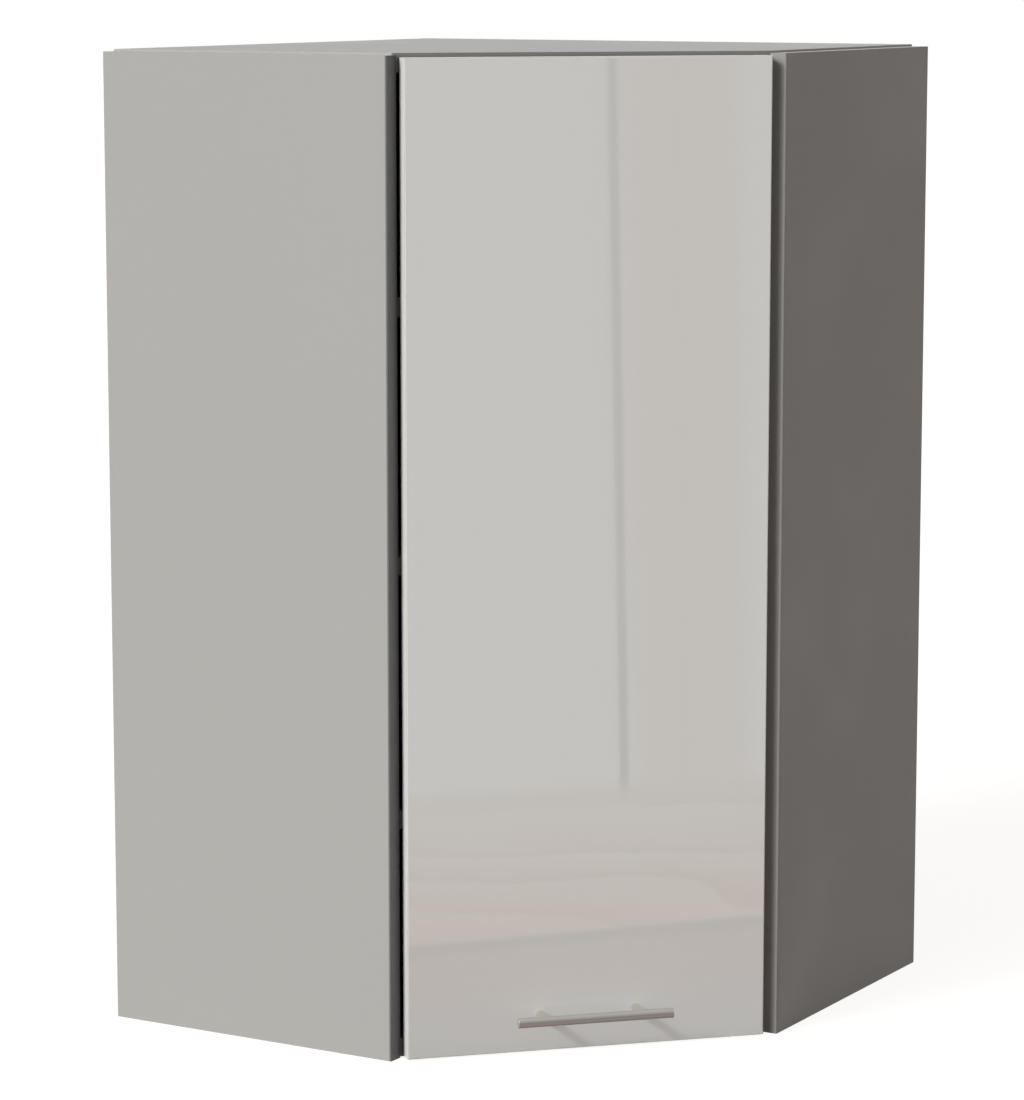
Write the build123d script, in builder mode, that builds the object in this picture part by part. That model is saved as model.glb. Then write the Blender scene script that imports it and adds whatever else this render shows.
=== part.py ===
"""Corner wall cabinet: a five-sided carcase for a room corner, with one door across the corner.

Millimetres, +Z up. The origin is under the middle of the 600 x 600 plan, at the carcase's base.
The left wall is the plane x = -HALF and the right wall the plane y = +HALF. The left side panel
stands at y = -HALF, the right side panel at x = +HALF, and the door faces (+x, -y) at 45 degrees.
The cabinet is a mirror image of itself about the vertical plane x + y = 0, apart from the door's
hinges, which are all on the right side panel.
"""
import os
from math import sqrt

from build123d import *

os.makedirs("parts", exist_ok=True)

ROOT2 = sqrt(2)

# ---- Driving dimensions of the carcase ----
WALL_RUN = 600.0        # along each wall
SIDE_DEPTH = 324.0      # side panel, from the wall to its front end
SIDE_HEIGHT = 962.0
BOARD = 18.0            # thickness of panels, boards, shelves and door
TOP_RISE = 2.0          # the top board stands this much above the side panels
SIDE_BAND = 2.0         # edge band on the side panels' front ends
SIDE_BAND_ROUND = 1.6
BOARD_BAND = 1.0        # edge band on the diagonal front edges
SHELF_UNDERSIDES = (224.0, 470.5, 717.0)
SHELF_NAMES = ("lower", "middle", "upper")
SHELF_SETBACK = 5.0     # shelf fronts, behind the front of the top and bottom boards
SHELF_GAP = 1.0         # play between a shelf and what is round it

# ---- Back panels and rear post ----
BACK = 3.0
BACK_INSET = 20.0       # from the wall to the back panel
GROOVE_DEPTH = 6.0
GROOVE_PLAY = 0.2
POST_LEG = 40.0
POST_THICKNESS = 20.0

# ---- Door and handle ----
DOOR_WIDTH = 360.0
DOOR_HEIGHT = 958.0
DOOR_LIFT = 2.0         # the door's lower edge above the carcase's base
DOOR_GAP = 3.2          # between the door's back and the front edges of the boards
DOOR_ROUND = 1.5
HANDLE_LENGTH = 156.0
HANDLE_PITCH = 96.0
HANDLE_HEIGHT = 39.0
HANDLE_STANDOFF = 29.0  # bar centre from the door's face
BAR_RADIUS = 5.0
POST_RADIUS = 4.0

# ---- Door hinges: one pin each, at the end of an arm that curls into the cup ----
HINGE_HEIGHTS = (112.0, 592.0, 848.0)
PIN_FROM_EDGE = 7.2
PIN_FROM_BACK = 10.0
PIN_RADIUS = 1.25
PIN_HALF_LENGTH = 9.4
CUP_RADIUS = 17.5
CUP_RIM = 3.0           # board left between the cup and the door's edge
CUP_DEPTH = 13.5
CUP_WALL = 0.8
CUP_WELL = 14.0         # height of the well that the arm dips into
ARM_THICKNESS = 3.0
NECK_REACH = 24.0       # the arm's turn inside the cup, from the door's edge
NECK_RISE = 8.0         # the arm's clear height over the door's back
PLATE_HEIGHT = 7.85
PLATE_FROM_FRONT = 37.0

# ---- Fastening pattern ----
BOLTS_FROM_WALL = (60.0, 280.0)
DOWELS_FROM_WALL = (92.0, 248.0)
PINS_FROM_WALL = (70.0, 270.0)
PIN_ROW_STEP = 32.0     # spare shelf positions above and below the one in use
CAM_FROM_END = 34.0
CAM_RADIUS = 7.5
CAM_DEPTH = 12.5
FIT = 0.05              # radial play of a screw or pin in its hole

# ---- Worked out from the above ----
HALF = WALL_RUN / 2
INNER = HALF - BOARD                    # inner faces of the side panels
TOP_HEIGHT = SIDE_HEIGHT + TOP_RISE
TOP_UNDERSIDE = TOP_HEIGHT - BOARD
DOOR_BACK = (SIDE_DEPTH - BOARD) / ROOT2 + 0.1
DOOR_FRONT = DOOR_BACK + BOARD
BOARD_FRONT = DOOR_BACK - DOOR_GAP
SHELF_FRONT = BOARD_FRONT - SHELF_SETBACK
HINGE_EDGE = DOOR_WIDTH / 2
CUP_CENTRE = CUP_RIM + CUP_RADIUS       # from the door's hinge edge
BACK_FACE = HALF - BACK_INSET           # side of the back panels that faces the wall
BACK_FRONT = BACK_FACE - BACK           # side of the back panels that faces the inside
BACK_FOOT = BOARD - GROOVE_DEPTH        # the back panels stand in the boards' grooves
BACK_HEIGHT = TOP_UNDERSIDE + GROOVE_DEPTH - BACK_FOOT
MIRROR_PLANE = Plane(origin=(0, 0, 0), z_dir=(1, 1, 0))


def across(along, out, up=0.0):
    """The point `along` the door to the right, `out` towards the room and `up`."""
    return ((along + out) / ROOT2, (along - out) / ROOT2, up)


def five_sided(wall, side, front):
    """Plan corners of a board: distances of its wall edges, side edges and diagonal front edge."""
    reach = front * ROOT2 - side
    return [(-wall, -side), (reach, -side), (side, -reach), (side, wall), (-wall, wall)]


def front_strip(side, front, thickness):
    """Plan corners of an edge band whose outer face is the diagonal `front`."""
    outer = front * ROOT2 - side
    inner = (front - thickness) * ROOT2 - side
    return [(inner, -side), (outer, -side), (side, -outer), (side, -inner)]


def panel_faces(distances, height):
    """Planes on both side panels' inner faces, facing the cabinet's inside."""
    left = [Plane(origin=(-HALF + run, -INNER, height), x_dir=(1, 0, 0), z_dir=(0, 1, 0))
            for run in distances]
    right = [Plane(origin=(INNER, HALF - run, height), x_dir=(0, -1, 0), z_dir=(-1, 0, 0))
             for run in distances]
    return left, right


def turned(planes):
    """The same planes with their normals reversed."""
    return [Plane(origin=plane.origin, x_dir=plane.x_dir, z_dir=-plane.z_dir) for plane in planes]


def both_faces(distances, heights):
    """Panel-face planes of both sides at every height."""
    planes = []
    for height in heights:
        left, right = panel_faces(distances, height)
        planes += left + right
    return planes


def save(piece, label):
    """Name a finished sub-part and write it."""
    piece.part.label = label
    export_step(piece.part, f"parts/{label}.step")


def screw_shape(head_radius, shank_radius, length, slot):
    """A countersunk screw below each current location, its head level with it."""
    taper = head_radius - shank_radius
    with Locations((0, 0, -taper / 2)):
        Cone(shank_radius, head_radius, taper)
    with Locations((0, 0, -length / 2)):
        Cylinder(shank_radius, length)
    with Locations((0, 0, -slot / 2)):
        Box(head_radius * 1.2, slot, slot, mode=Mode.SUBTRACT)
        Box(slot, head_radius * 1.2, slot, mode=Mode.SUBTRACT)


def sunk_hole(head_radius, shank_radius, depth):
    """The hole that screw_shape fits, with play all round."""
    CounterSinkHole(shank_radius + FIT, head_radius + FIT, depth=depth)


JOINT_LEVELS = (BOARD / 2, TOP_HEIGHT - BOARD / 2)
THREAD_RADIUS = 2.5
THREAD_DEPTH = 11.0
BOLT_RADIUS = 2.9
BOLT_BORE_RADIUS = 3.5
DOWEL_RADIUS = 4.0
DOWEL_IN_PANEL = 11.0
DOWEL_IN_BOARD = 18.0
SHELF_PIN_RADIUS = 2.5
SHELF_PIN_DEPTH = 9.0
SHELF_PIN_REACH = 9.0
BOTTOMING = 1.0         # how much deeper a blind hole is than what stands in it

# ---- Cabinet hanger, measured on the left side panel ----
HANGER_BACK = -BACK_FRONT + 1.0         # x of the housing's open rear
HANGER_DEPTH = 40.0
HANGER_WIDTH = 18.0
HANGER_BOTTOM = 884.0
HANGER_TOP = 942.0
HANGER_WALL = 2.0
HANGER_FLANGE = 16.0
HANGER_MID = -INNER + HANGER_WIDTH / 2
HOOK_LEVEL = 917.0
HOOK_HEIGHT = 10.0
HOOK_THICKNESS = 8.0
HOOK_REST = -HALF + 3.0                 # x of the hook's rear face
HOOK_FRONT = -260.0
HOOK_LIP = 5.0
HOOK_DROP = 21.0
CARRIAGE_FRONT = -250.0
CARRIAGE_BACK = -272.0
HEIGHT_SCREW_X = -243.5
FLANGE_SCREW_X = -226.0
FLANGE_SCREW_HEIGHTS = (898.0, 928.0)
NOTCH_BOTTOM = HANGER_BOTTOM - 4.0
NOTCH_WIDTH = HANGER_WIDTH + 6.0

# ---- Hinge arms, plates and screws ----
ARM_OFFSET = PLATE_HEIGHT + ARM_THICKNESS / 2 + FIT
ARM_SCREWS_BACK = (28.0, 52.0)          # from the side panel's front corner
ARM_END_BACK = 60.0
ARM_HALF_HEIGHT = 4.5
ARM_NOSE_RADIUS = 2.3
ARM_SCREW_RADIUS = 2.5
ARM_SCREW_HEAD = 4.2
PLATE_SCREW_OFFSET = 16.0
PLATE_SCREW_RADIUS = 2.5
PLATE_SCREW_HEAD = 4.2
PLATE_SCREW_LENGTH = 13.0
PLATE_WING = 2.5        # thickness of the plate's screw wings
FLANGE = 1.2            # thickness of the cup's flange and wings
CUP_SCREW_OFFSET = 24.0
CUP_SCREW_SHIFT = 9.5
CUP_SCREW_RADIUS = 1.75
CUP_SCREW_HEAD = 2.9
CUP_SCREW_LENGTH = 14.0

# ---- Handle screws and door bumpers ----
HANDLE_SCREW_RADIUS = 2.0
HANDLE_SCREW_HEAD = 4.2
HANDLE_SCREW_HEAD_HEIGHT = 2.4
HANDLE_SCREW_REACH = 12.0               # how far the screw goes into the post
HANDLE_SCREW_SLOT = 1.2                 # depth of the cross slot
BUMPER_RADIUS = 5.0
BUMPER_ROUND = 1.5
BUMPER_INSET = 15.0                     # from the door's handle-side edge
BUMPER_PLAY = 0.2                       # air left in front of the boards
BUMPER_HEIGHTS = (BOARD / 2, TOP_UNDERSIDE + BOARD / 2 - 2.0)


def hinge_plate_faces():
    """Planes on the right panel's inner face at the middle of each hinge plate."""
    run = SIDE_DEPTH - PLATE_FROM_FRONT
    planes = []
    for height in HINGE_HEIGHTS:
        planes += panel_faces([run], height)[1]
    return planes


# ======================================================================================
# Carcase boards
# ======================================================================================
def make_side_panels():
    """The two side panels: grooved for the back, drilled for joints, shelf pins and hanger."""
    core = SIDE_DEPTH - SIDE_BAND
    shelf_levels = [under - SHELF_PIN_RADIUS + step * PIN_ROW_STEP
                    for under in SHELF_UNDERSIDES for step in (-1, 0, 1)]
    with BuildPart() as left:
        with BuildSketch():
            with Locations((-HALF + core / 2, -HALF + BOARD / 2)):
                Rectangle(core, BOARD)
        extrude(amount=SIDE_HEIGHT)
        with BuildSketch(Plane.XY.offset(BACK_FOOT - GROOVE_PLAY)):
            with Locations((-BACK_FACE + BACK / 2, -INNER)):
                Rectangle(BACK + 2 * GROOVE_PLAY, 2 * (GROOVE_DEPTH + GROOVE_PLAY))
        extrude(amount=BACK_HEIGHT + 2 * GROOVE_PLAY, mode=Mode.SUBTRACT)
        for level in JOINT_LEVELS:
            with Locations(*panel_faces(BOLTS_FROM_WALL, level)[0]):
                Hole(THREAD_RADIUS + FIT, THREAD_DEPTH + BOTTOMING)
            with Locations(*panel_faces(DOWELS_FROM_WALL, level)[0]):
                Hole(DOWEL_RADIUS + FIT, DOWEL_IN_PANEL + BOTTOMING)
        for level in shelf_levels:
            with Locations(*panel_faces(PINS_FROM_WALL, level)[0]):
                Hole(SHELF_PIN_RADIUS + FIT, SHELF_PIN_DEPTH + BOTTOMING)
        for level in FLANGE_SCREW_HEIGHTS:
            with Locations(*panel_faces([HALF + FLANGE_SCREW_X], level)[0]):
                Hole(1.75 + FIT, 13.0)
    save(left, "left_side_panel")

    with BuildPart() as right:
        mirror(left.part, about=MIRROR_PLANE)
        with Locations(*hinge_plate_faces()):
            with Locations((0, PLATE_SCREW_OFFSET), (0, -PLATE_SCREW_OFFSET)):
                Hole(2.5 + FIT, 12.0)
    save(right, "right_side_panel")


def make_side_edge_bands():
    """The rounded bands on the side panels' front ends."""
    front = -HALF + SIDE_DEPTH
    with BuildPart() as left:
        with BuildSketch():
            with Locations((front - SIDE_BAND / 2, -HALF + BOARD / 2)):
                Rectangle(SIDE_BAND, BOARD)
        extrude(amount=SIDE_HEIGHT)
        fillet(left.edges().filter_by(Axis.Z).group_by(Axis.X)[-1], SIDE_BAND_ROUND)
    save(left, "left_side_edge_band")
    with BuildPart() as right:
        mirror(left.part, about=MIRROR_PLANE)
    save(right, "right_side_edge_band")


def joint_bores(level, cam_bores):
    """Cut a board's bores for its cam locks, cam bolts and dowels."""
    with Locations(*turned(both_faces(BOLTS_FROM_WALL, [level]))):
        Hole(BOLT_BORE_RADIUS, CAM_FROM_END)
    with Locations(*turned(both_faces(DOWELS_FROM_WALL, [level]))):
        Hole(DOWEL_RADIUS + FIT, DOWEL_IN_BOARD + BOTTOMING)
    with Locations(*cam_bores):
        Hole(CAM_RADIUS + FIT, CAM_DEPTH + BOTTOMING / 2)


def cam_planes(face_height, facing):
    """Planes over the cam bores on a board's inner face, facing up (+1) or down (-1)."""
    spots = []
    for run in BOLTS_FROM_WALL:
        spots.append((-HALF + run, -INNER + CAM_FROM_END))
        spots.append((INNER - CAM_FROM_END, HALF - run))
    return [Plane(origin=(x, y, face_height), x_dir=(1, 0, 0), z_dir=(0, 0, facing)) for x, y in spots]


def post_spots():
    """Plan points where the rear post is doweled to the top board and screwed to the bottom."""
    middle = HALF - POST_THICKNESS / 2
    near = HALF - POST_LEG + 8.0
    return [(-middle, near), (-near, middle)]


def back_grooves(base):
    """Plan rectangles (centre, size) of the two back-panel grooves in a board."""
    width = BACK + 2 * GROOVE_PLAY
    middle = BACK_FACE - BACK / 2
    run = INNER + BACK_FACE
    return [((-middle, (BACK_FACE - INNER) / 2, base), (width, run)),
            (((INNER - BACK_FACE) / 2, middle, base), (run, width))]


def make_top_board():
    """The top board, flush with the walls and standing above the side panels."""
    with BuildPart() as top:
        with BuildSketch(Plane.XY.offset(TOP_UNDERSIDE)):
            with BuildLine():
                Polyline(*five_sided(HALF, INNER, BOARD_FRONT - BOARD_BAND), close=True)
            make_face()
        extrude(amount=BOARD)
        for centre, size in back_grooves(TOP_UNDERSIDE + GROOVE_DEPTH / 2):
            with Locations(centre):
                Box(size[0], size[1], GROOVE_DEPTH + GROOVE_PLAY, mode=Mode.SUBTRACT)
        joint_bores(JOINT_LEVELS[1], cam_planes(TOP_UNDERSIDE, -1))
        with Locations(*[Plane(origin=(x, y, TOP_UNDERSIDE), z_dir=(0, 0, -1)) for x, y in post_spots()]):
            Hole(DOWEL_RADIUS + FIT, DOWEL_IN_PANEL + BOTTOMING)
    save(top, "top_board")


def make_bottom_board():
    """The bottom board, flush with the side panels' lower ends."""
    with BuildPart() as bottom:
        with BuildSketch():
            with BuildLine():
                Polyline(*five_sided(HALF, INNER, BOARD_FRONT - BOARD_BAND), close=True)
            make_face()
        extrude(amount=BOARD)
        for centre, size in back_grooves(BOARD - GROOVE_DEPTH / 2):
            with Locations(centre):
                Box(size[0], size[1], GROOVE_DEPTH + GROOVE_PLAY, mode=Mode.SUBTRACT)
        joint_bores(JOINT_LEVELS[0], cam_planes(BOARD, 1))
        with Locations(*[Plane(origin=(x, y, 0), z_dir=(0, 0, -1)) for x, y in post_spots()]):
            sunk_hole(4.0, 2.0, BOARD)
    save(bottom, "bottom_board")


def make_board_edge_bands():
    """The bands on the diagonal front edges of the top board and the bottom board."""
    for label, base in (("top_edge_band", TOP_UNDERSIDE), ("bottom_edge_band", 0.0)):
        with BuildPart() as band:
            with BuildSketch(Plane.XY.offset(base)):
                with BuildLine():
                    Polyline(*front_strip(INNER, BOARD_FRONT, BOARD_BAND), close=True)
                make_face()
            extrude(amount=BOARD)
        save(band, label)


def make_shelves():
    """Three loose shelves and the bands on their front edges."""
    side = INNER - SHELF_GAP
    wall = BACK_FRONT - SHELF_GAP
    for name, under in zip(SHELF_NAMES, SHELF_UNDERSIDES):
        with BuildPart() as shelf:
            with BuildSketch(Plane.XY.offset(under)):
                with BuildLine():
                    Polyline(*five_sided(wall, side, SHELF_FRONT - BOARD_BAND), close=True)
                make_face()
            extrude(amount=BOARD)
        save(shelf, f"{name}_shelf")
    with BuildPart() as bands:
        for under in SHELF_UNDERSIDES:
            with BuildSketch(Plane.XY.offset(under)):
                with BuildLine():
                    Polyline(*front_strip(side, SHELF_FRONT, BOARD_BAND), close=True)
                make_face()
            extrude(amount=BOARD)
    save(bands, "shelf_edge_bands")


# ======================================================================================
# Back panels and rear post
# ======================================================================================
def make_back_panels():
    """Two hardboard backs in grooves; each has a notch for its hanger."""
    outer = INNER + GROOVE_DEPTH
    notch_height = BACK_FOOT + BACK_HEIGHT - NOTCH_BOTTOM
    for label, inner_end in (("left_back_panel", BACK_FACE), ("right_back_panel", BACK_FRONT - GROOVE_PLAY)):
        length = outer + inner_end
        with BuildPart() as left:
            with BuildSketch(Plane.XY.offset(BACK_FOOT)):
                with Locations((-BACK_FACE + BACK / 2, inner_end - length / 2)):
                    Rectangle(BACK, length)
            extrude(amount=BACK_HEIGHT)
            with BuildSketch(Plane.XY.offset(NOTCH_BOTTOM)):
                with Locations((-BACK_FACE + BACK / 2, -INNER)):
                    Rectangle(2 * BACK, 2 * NOTCH_WIDTH)
            extrude(amount=notch_height, mode=Mode.SUBTRACT)
            with Locations(*back_screw_planes()):
                sunk_hole(2.6, 1.5, BACK)
            if label == "left_back_panel":
                with Locations(*[rear_pin_plane(under) for under in SHELF_UNDERSIDES]):
                    Hole(SHELF_PIN_RADIUS + FIT, 2 * BACK)
        if label == "left_back_panel":
            save(left, label)
        else:
            with BuildPart() as right:
                mirror(left.part, about=MIRROR_PLANE)
            save(right, label)


def back_screw_planes():
    """Planes on the left back's inner face where small screws go into the rear post."""
    run = HALF - POST_LEG + 11.0
    return [Plane(origin=(-BACK_FRONT, run, height), z_dir=(1, 0, 0))
            for height in (60.0, 340.0, 600.0, 880.0)]


def rear_pin_plane(under):
    """The plane on the left back's inner face at a shelf's rear pin."""
    return Plane(origin=(-BACK_FRONT, HALF - POST_LEG + 9.0, under - SHELF_PIN_RADIUS), z_dir=(1, 0, 0))


def make_rear_corner_post():
    """The L-shaped post in the rear corner, behind both back panels."""
    with BuildPart() as post:
        with BuildSketch(Plane.XY.offset(BOARD)):
            with Locations((-HALF, HALF)):
                Rectangle(POST_LEG, POST_THICKNESS, align=(Align.MIN, Align.MAX))
                Rectangle(POST_THICKNESS, POST_LEG, align=(Align.MIN, Align.MAX))
        extrude(amount=TOP_UNDERSIDE - BOARD)
        for x, y in post_spots():
            with Locations((x, y, TOP_UNDERSIDE)):
                Hole(DOWEL_RADIUS + FIT, DOWEL_IN_BOARD + BOTTOMING)
            with Locations(Plane(origin=(x, y, BOARD), z_dir=(0, 0, -1))):
                Hole(2.0 + FIT, 33.0)
        with Locations(*[plane.offset(-BACK) for plane in back_screw_planes()]):
            Hole(1.5 + FIT, 14.0)
        with Locations(*[mirrored(plane.offset(-BACK)) for plane in back_screw_planes()]):
            Hole(1.5 + FIT, 14.0)
        with Locations(*[rear_pin_plane(under).offset(-BACK) for under in SHELF_UNDERSIDES]):
            Hole(SHELF_PIN_RADIUS + FIT, SHELF_PIN_DEPTH)
    save(post, "rear_corner_post")


def mirrored(plane):
    """The plane's mirror image in the cabinet's plane of symmetry."""
    spot, facing = plane.origin, plane.z_dir
    return Plane(origin=(-spot.Y, -spot.X, spot.Z), z_dir=(-facing.Y, -facing.X, facing.Z))


# ======================================================================================
# Carcase fittings
# ======================================================================================
def make_post_screws():
    """Two screws up through the bottom board into the rear post."""
    with BuildPart() as screws:
        with Locations(*[Plane(origin=(x, y, 0), z_dir=(0, 0, -1)) for x, y in post_spots()]):
            screw_shape(4.0, 2.0, 50.0, 1.2)
    save(screws, "post_screws")


def make_back_screws():
    """Small screws that hold both back panels to the rear post."""
    planes = back_screw_planes()
    with BuildPart() as screws:
        with Locations(*planes, *[mirrored(plane) for plane in planes]):
            screw_shape(2.6, 1.5, 16.0, 0.8)
    save(screws, "back_panel_screws")


def make_cam_bolts():
    """Cam bolts: a thread in the side panel, a shank and a necked head in the board."""
    neck_start = CAM_FROM_END - CAM_RADIUS + 0.5
    with BuildPart() as bolts:
        with Locations(*both_faces(BOLTS_FROM_WALL, JOINT_LEVELS)):
            with Locations((0, 0, -THREAD_DEPTH / 2)):
                Cylinder(THREAD_RADIUS, THREAD_DEPTH)
            with Locations((0, 0, neck_start / 2)):
                Cylinder(BOLT_RADIUS, neck_start)
            with Locations((0, 0, neck_start + 1.5)):
                Cylinder(1.7, 3.0)
            with Locations((0, 0, neck_start + 4.0)):
                Cylinder(BOLT_RADIUS, 2.0)
    save(bolts, "cam_bolts")


def make_cam_locks():
    """Cam locks: slotted discs in the boards' inner faces that grip the bolts' heads."""
    bolt_ends = [plane.offset(CAM_FROM_END - 12.0) for plane in both_faces(BOLTS_FROM_WALL, JOINT_LEVELS)]
    with BuildPart() as cams:
        with Locations(*cam_planes(BOARD, 1), *cam_planes(TOP_UNDERSIDE, -1)):
            with Locations((0, 0, -CAM_DEPTH / 2)):
                Cylinder(CAM_RADIUS, CAM_DEPTH)
            Box(CAM_RADIUS * 1.4, 1.6, 2.0, mode=Mode.SUBTRACT)
            Box(1.6, CAM_RADIUS * 1.4, 2.0, mode=Mode.SUBTRACT)
        with Locations(*turned(bolt_ends)):
            Hole(BOLT_RADIUS + 0.4, 12.5)
    save(cams, "cam_locks")


def make_dowels():
    """Wooden dowels that locate the boards on the side panels and the rear post."""
    length = DOWEL_IN_PANEL + DOWEL_IN_BOARD
    post_tops = [Plane(origin=(x, y, TOP_UNDERSIDE), z_dir=(0, 0, -1)) for x, y in post_spots()]
    with BuildPart() as dowels:
        with Locations(*both_faces(DOWELS_FROM_WALL, JOINT_LEVELS), *post_tops):
            with Locations((0, 0, DOWEL_IN_BOARD - length / 2)):
                Cylinder(DOWEL_RADIUS, length)
        chamfer(dowels.edges().filter_by(GeomType.CIRCLE), 0.8)
    save(dowels, "wood_dowels")


def make_shelf_pins():
    """Five collared pins under each shelf: two in each side panel and one at the back."""
    for name, under in zip(SHELF_NAMES, SHELF_UNDERSIDES):
        level = under - SHELF_PIN_RADIUS
        planes = both_faces(PINS_FROM_WALL, [level]) + [rear_pin_plane(under)]
        length = SHELF_PIN_DEPTH + SHELF_PIN_REACH
        with BuildPart() as pins:
            with Locations(*planes):
                with Locations((0, 0, SHELF_PIN_REACH - length / 2)):
                    Cylinder(SHELF_PIN_RADIUS, length)
                with Locations((0, 0, 0.4)):
                    Cylinder(SHELF_PIN_RADIUS + 1.3, 0.8)
        save(pins, f"{name}_shelf_pins")


# ======================================================================================
# Cabinet hangers
# ======================================================================================
def save_pair(left, name):
    """Write a left-hand hanger piece and its mirror image."""
    save(left, f"left_{name}")
    with BuildPart() as right:
        mirror(left.part, about=MIRROR_PLANE)
    save(right, f"right_{name}")


def make_hanger_housings():
    """Open-backed housings under the top board, with a screw flange in front."""
    tall = HANGER_TOP - HANGER_BOTTOM
    middle = (HANGER_TOP + HANGER_BOTTOM) / 2
    front = HANGER_BACK + HANGER_DEPTH
    inside = HANGER_DEPTH - HANGER_WALL
    with BuildPart() as housing:
        with Locations((HANGER_BACK, -INNER, middle)):
            Box(HANGER_DEPTH, HANGER_WIDTH, tall, align=(Align.MIN, Align.MIN, Align.CENTER))
            Box(HANGER_DEPTH + HANGER_FLANGE, HANGER_WALL, tall,
                align=(Align.MIN, Align.MIN, Align.CENTER))
        with Locations((HANGER_BACK, -INNER + HANGER_WALL, middle)):
            Box(inside, HANGER_WIDTH - 2 * HANGER_WALL, tall - 2 * HANGER_WALL,
                align=(Align.MIN, Align.MIN, Align.CENTER), mode=Mode.SUBTRACT)
        with Locations((front - HANGER_WALL / 2, HANGER_MID, HOOK_LEVEL)):
            Box(2 * HANGER_WALL, 9.0, 22.0, mode=Mode.SUBTRACT)
        with Locations((HEIGHT_SCREW_X, HANGER_MID, HANGER_BOTTOM + HANGER_WALL)):
            Hole(2.0 + FIT, 2 * HANGER_WALL)
        for level in FLANGE_SCREW_HEIGHTS:
            with Locations(Plane(origin=(FLANGE_SCREW_X, -INNER + HANGER_WALL, level), z_dir=(0, 1, 0))):
                sunk_hole(3.4, 1.75, HANGER_WALL)
    save_pair(housing, "hanger_housing")


def make_hanger_carriages():
    """Blocks that ride up and down in the housings and carry the hooks."""
    width = HANGER_WIDTH - 2 * HANGER_WALL - 1.0
    with BuildPart() as carriage:
        with Locations((CARRIAGE_BACK, HANGER_MID, HOOK_LEVEL)):
            Box(CARRIAGE_FRONT - CARRIAGE_BACK, width, 16.0,
                align=(Align.MIN, Align.CENTER, Align.CENTER))
        with Locations((CARRIAGE_BACK, HANGER_MID, HOOK_LEVEL - 8.0)):
            Box(HEIGHT_SCREW_X + 4.0 - CARRIAGE_BACK, width, 6.0,
                align=(Align.MIN, Align.CENTER, Align.MAX))
        with Locations((CARRIAGE_BACK, HANGER_MID, HOOK_LEVEL)):
            Box(CARRIAGE_FRONT - CARRIAGE_BACK - 3.0, HOOK_THICKNESS + 0.4, HOOK_HEIGHT + 0.4,
                align=(Align.MIN, Align.CENTER, Align.CENTER), mode=Mode.SUBTRACT)
        with Locations(Plane(origin=(CARRIAGE_FRONT, HANGER_MID, HOOK_LEVEL), z_dir=(1, 0, 0))):
            Hole(2.0 + FIT, 4.0)
        with Locations((HEIGHT_SCREW_X, HANGER_MID, HOOK_LEVEL - 8.0)):
            Hole(2.0 + FIT, 6.0)
    save_pair(carriage, "hanger_carriage")


def make_hanger_hooks():
    """Steel hooks whose lips reach down behind the back panel to hang on the wall rail."""
    bore_plane = Plane(origin=(HOOK_FRONT, HANGER_MID, HOOK_LEVEL), z_dir=(1, 0, 0))
    with BuildPart() as hook:
        with BuildSketch(Plane(origin=(0, HANGER_MID, 0), x_dir=(1, 0, 0), z_dir=(0, -1, 0))):
            with Locations((HOOK_REST, HOOK_LEVEL)):
                Rectangle(HOOK_FRONT - HOOK_REST, HOOK_HEIGHT, align=(Align.MIN, Align.CENTER))
            with Locations((HOOK_REST, HOOK_LEVEL + HOOK_HEIGHT / 2)):
                Rectangle(HOOK_LIP, HOOK_DROP + HOOK_HEIGHT / 2, align=(Align.MIN, Align.MAX))
        extrude(amount=HOOK_THICKNESS / 2, both=True)
        fillet(hook.edges().filter_by(Axis.Y).group_by(Axis.X)[0].sort_by(Axis.Z)[-1], 3.0)
        with Locations(bore_plane):
            Hole(2.0 + FIT, 25.0)
    save_pair(hook, "hanger_hook")


def make_hanger_screws():
    """Height and depth adjusting screws, and the screws through the flanges."""
    with BuildPart() as depth:
        with Locations(Plane(origin=(CARRIAGE_FRONT, HANGER_MID, HOOK_LEVEL), z_dir=(1, 0, 0))):
            with Locations((0, 0, -14.5)):
                Cylinder(2.0, 29.0)
            with Locations((0, 0, 1.25)):
                Cylinder(3.8, 2.5)
            with Locations((0, 0, 2.5)):
                Box(6.0, 1.0, 2.0, mode=Mode.SUBTRACT)
                Box(1.0, 6.0, 2.0, mode=Mode.SUBTRACT)
    save_pair(depth, "hanger_depth_screw")

    screw_length = HOOK_LEVEL - 5.0 - HANGER_BOTTOM
    with BuildPart() as height:
        with Locations((HEIGHT_SCREW_X, HANGER_MID, HANGER_BOTTOM + screw_length / 2)):
            Cylinder(2.0, screw_length)
        with Locations((HEIGHT_SCREW_X, HANGER_MID, HANGER_BOTTOM - 1.25)):
            Cylinder(3.8, 2.5)
        with Locations((HEIGHT_SCREW_X, HANGER_MID, HANGER_BOTTOM - 2.5)):
            Box(6.0, 1.0, 2.0, mode=Mode.SUBTRACT)
            Box(1.0, 6.0, 2.0, mode=Mode.SUBTRACT)
    with BuildPart() as heights:
        add(height.part)
        mirror(height.part, about=MIRROR_PLANE)
    save(heights, "hanger_height_screws")

    flange_planes = [Plane(origin=(FLANGE_SCREW_X, -INNER + HANGER_WALL, level), z_dir=(0, 1, 0))
                     for level in FLANGE_SCREW_HEIGHTS]
    with BuildPart() as fixing:
        with Locations(*flange_planes, *[mirrored(plane) for plane in flange_planes]):
            screw_shape(3.4, 1.75, 14.0, 0.9)
    save(fixing, "hanger_fixing_screws")


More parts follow.
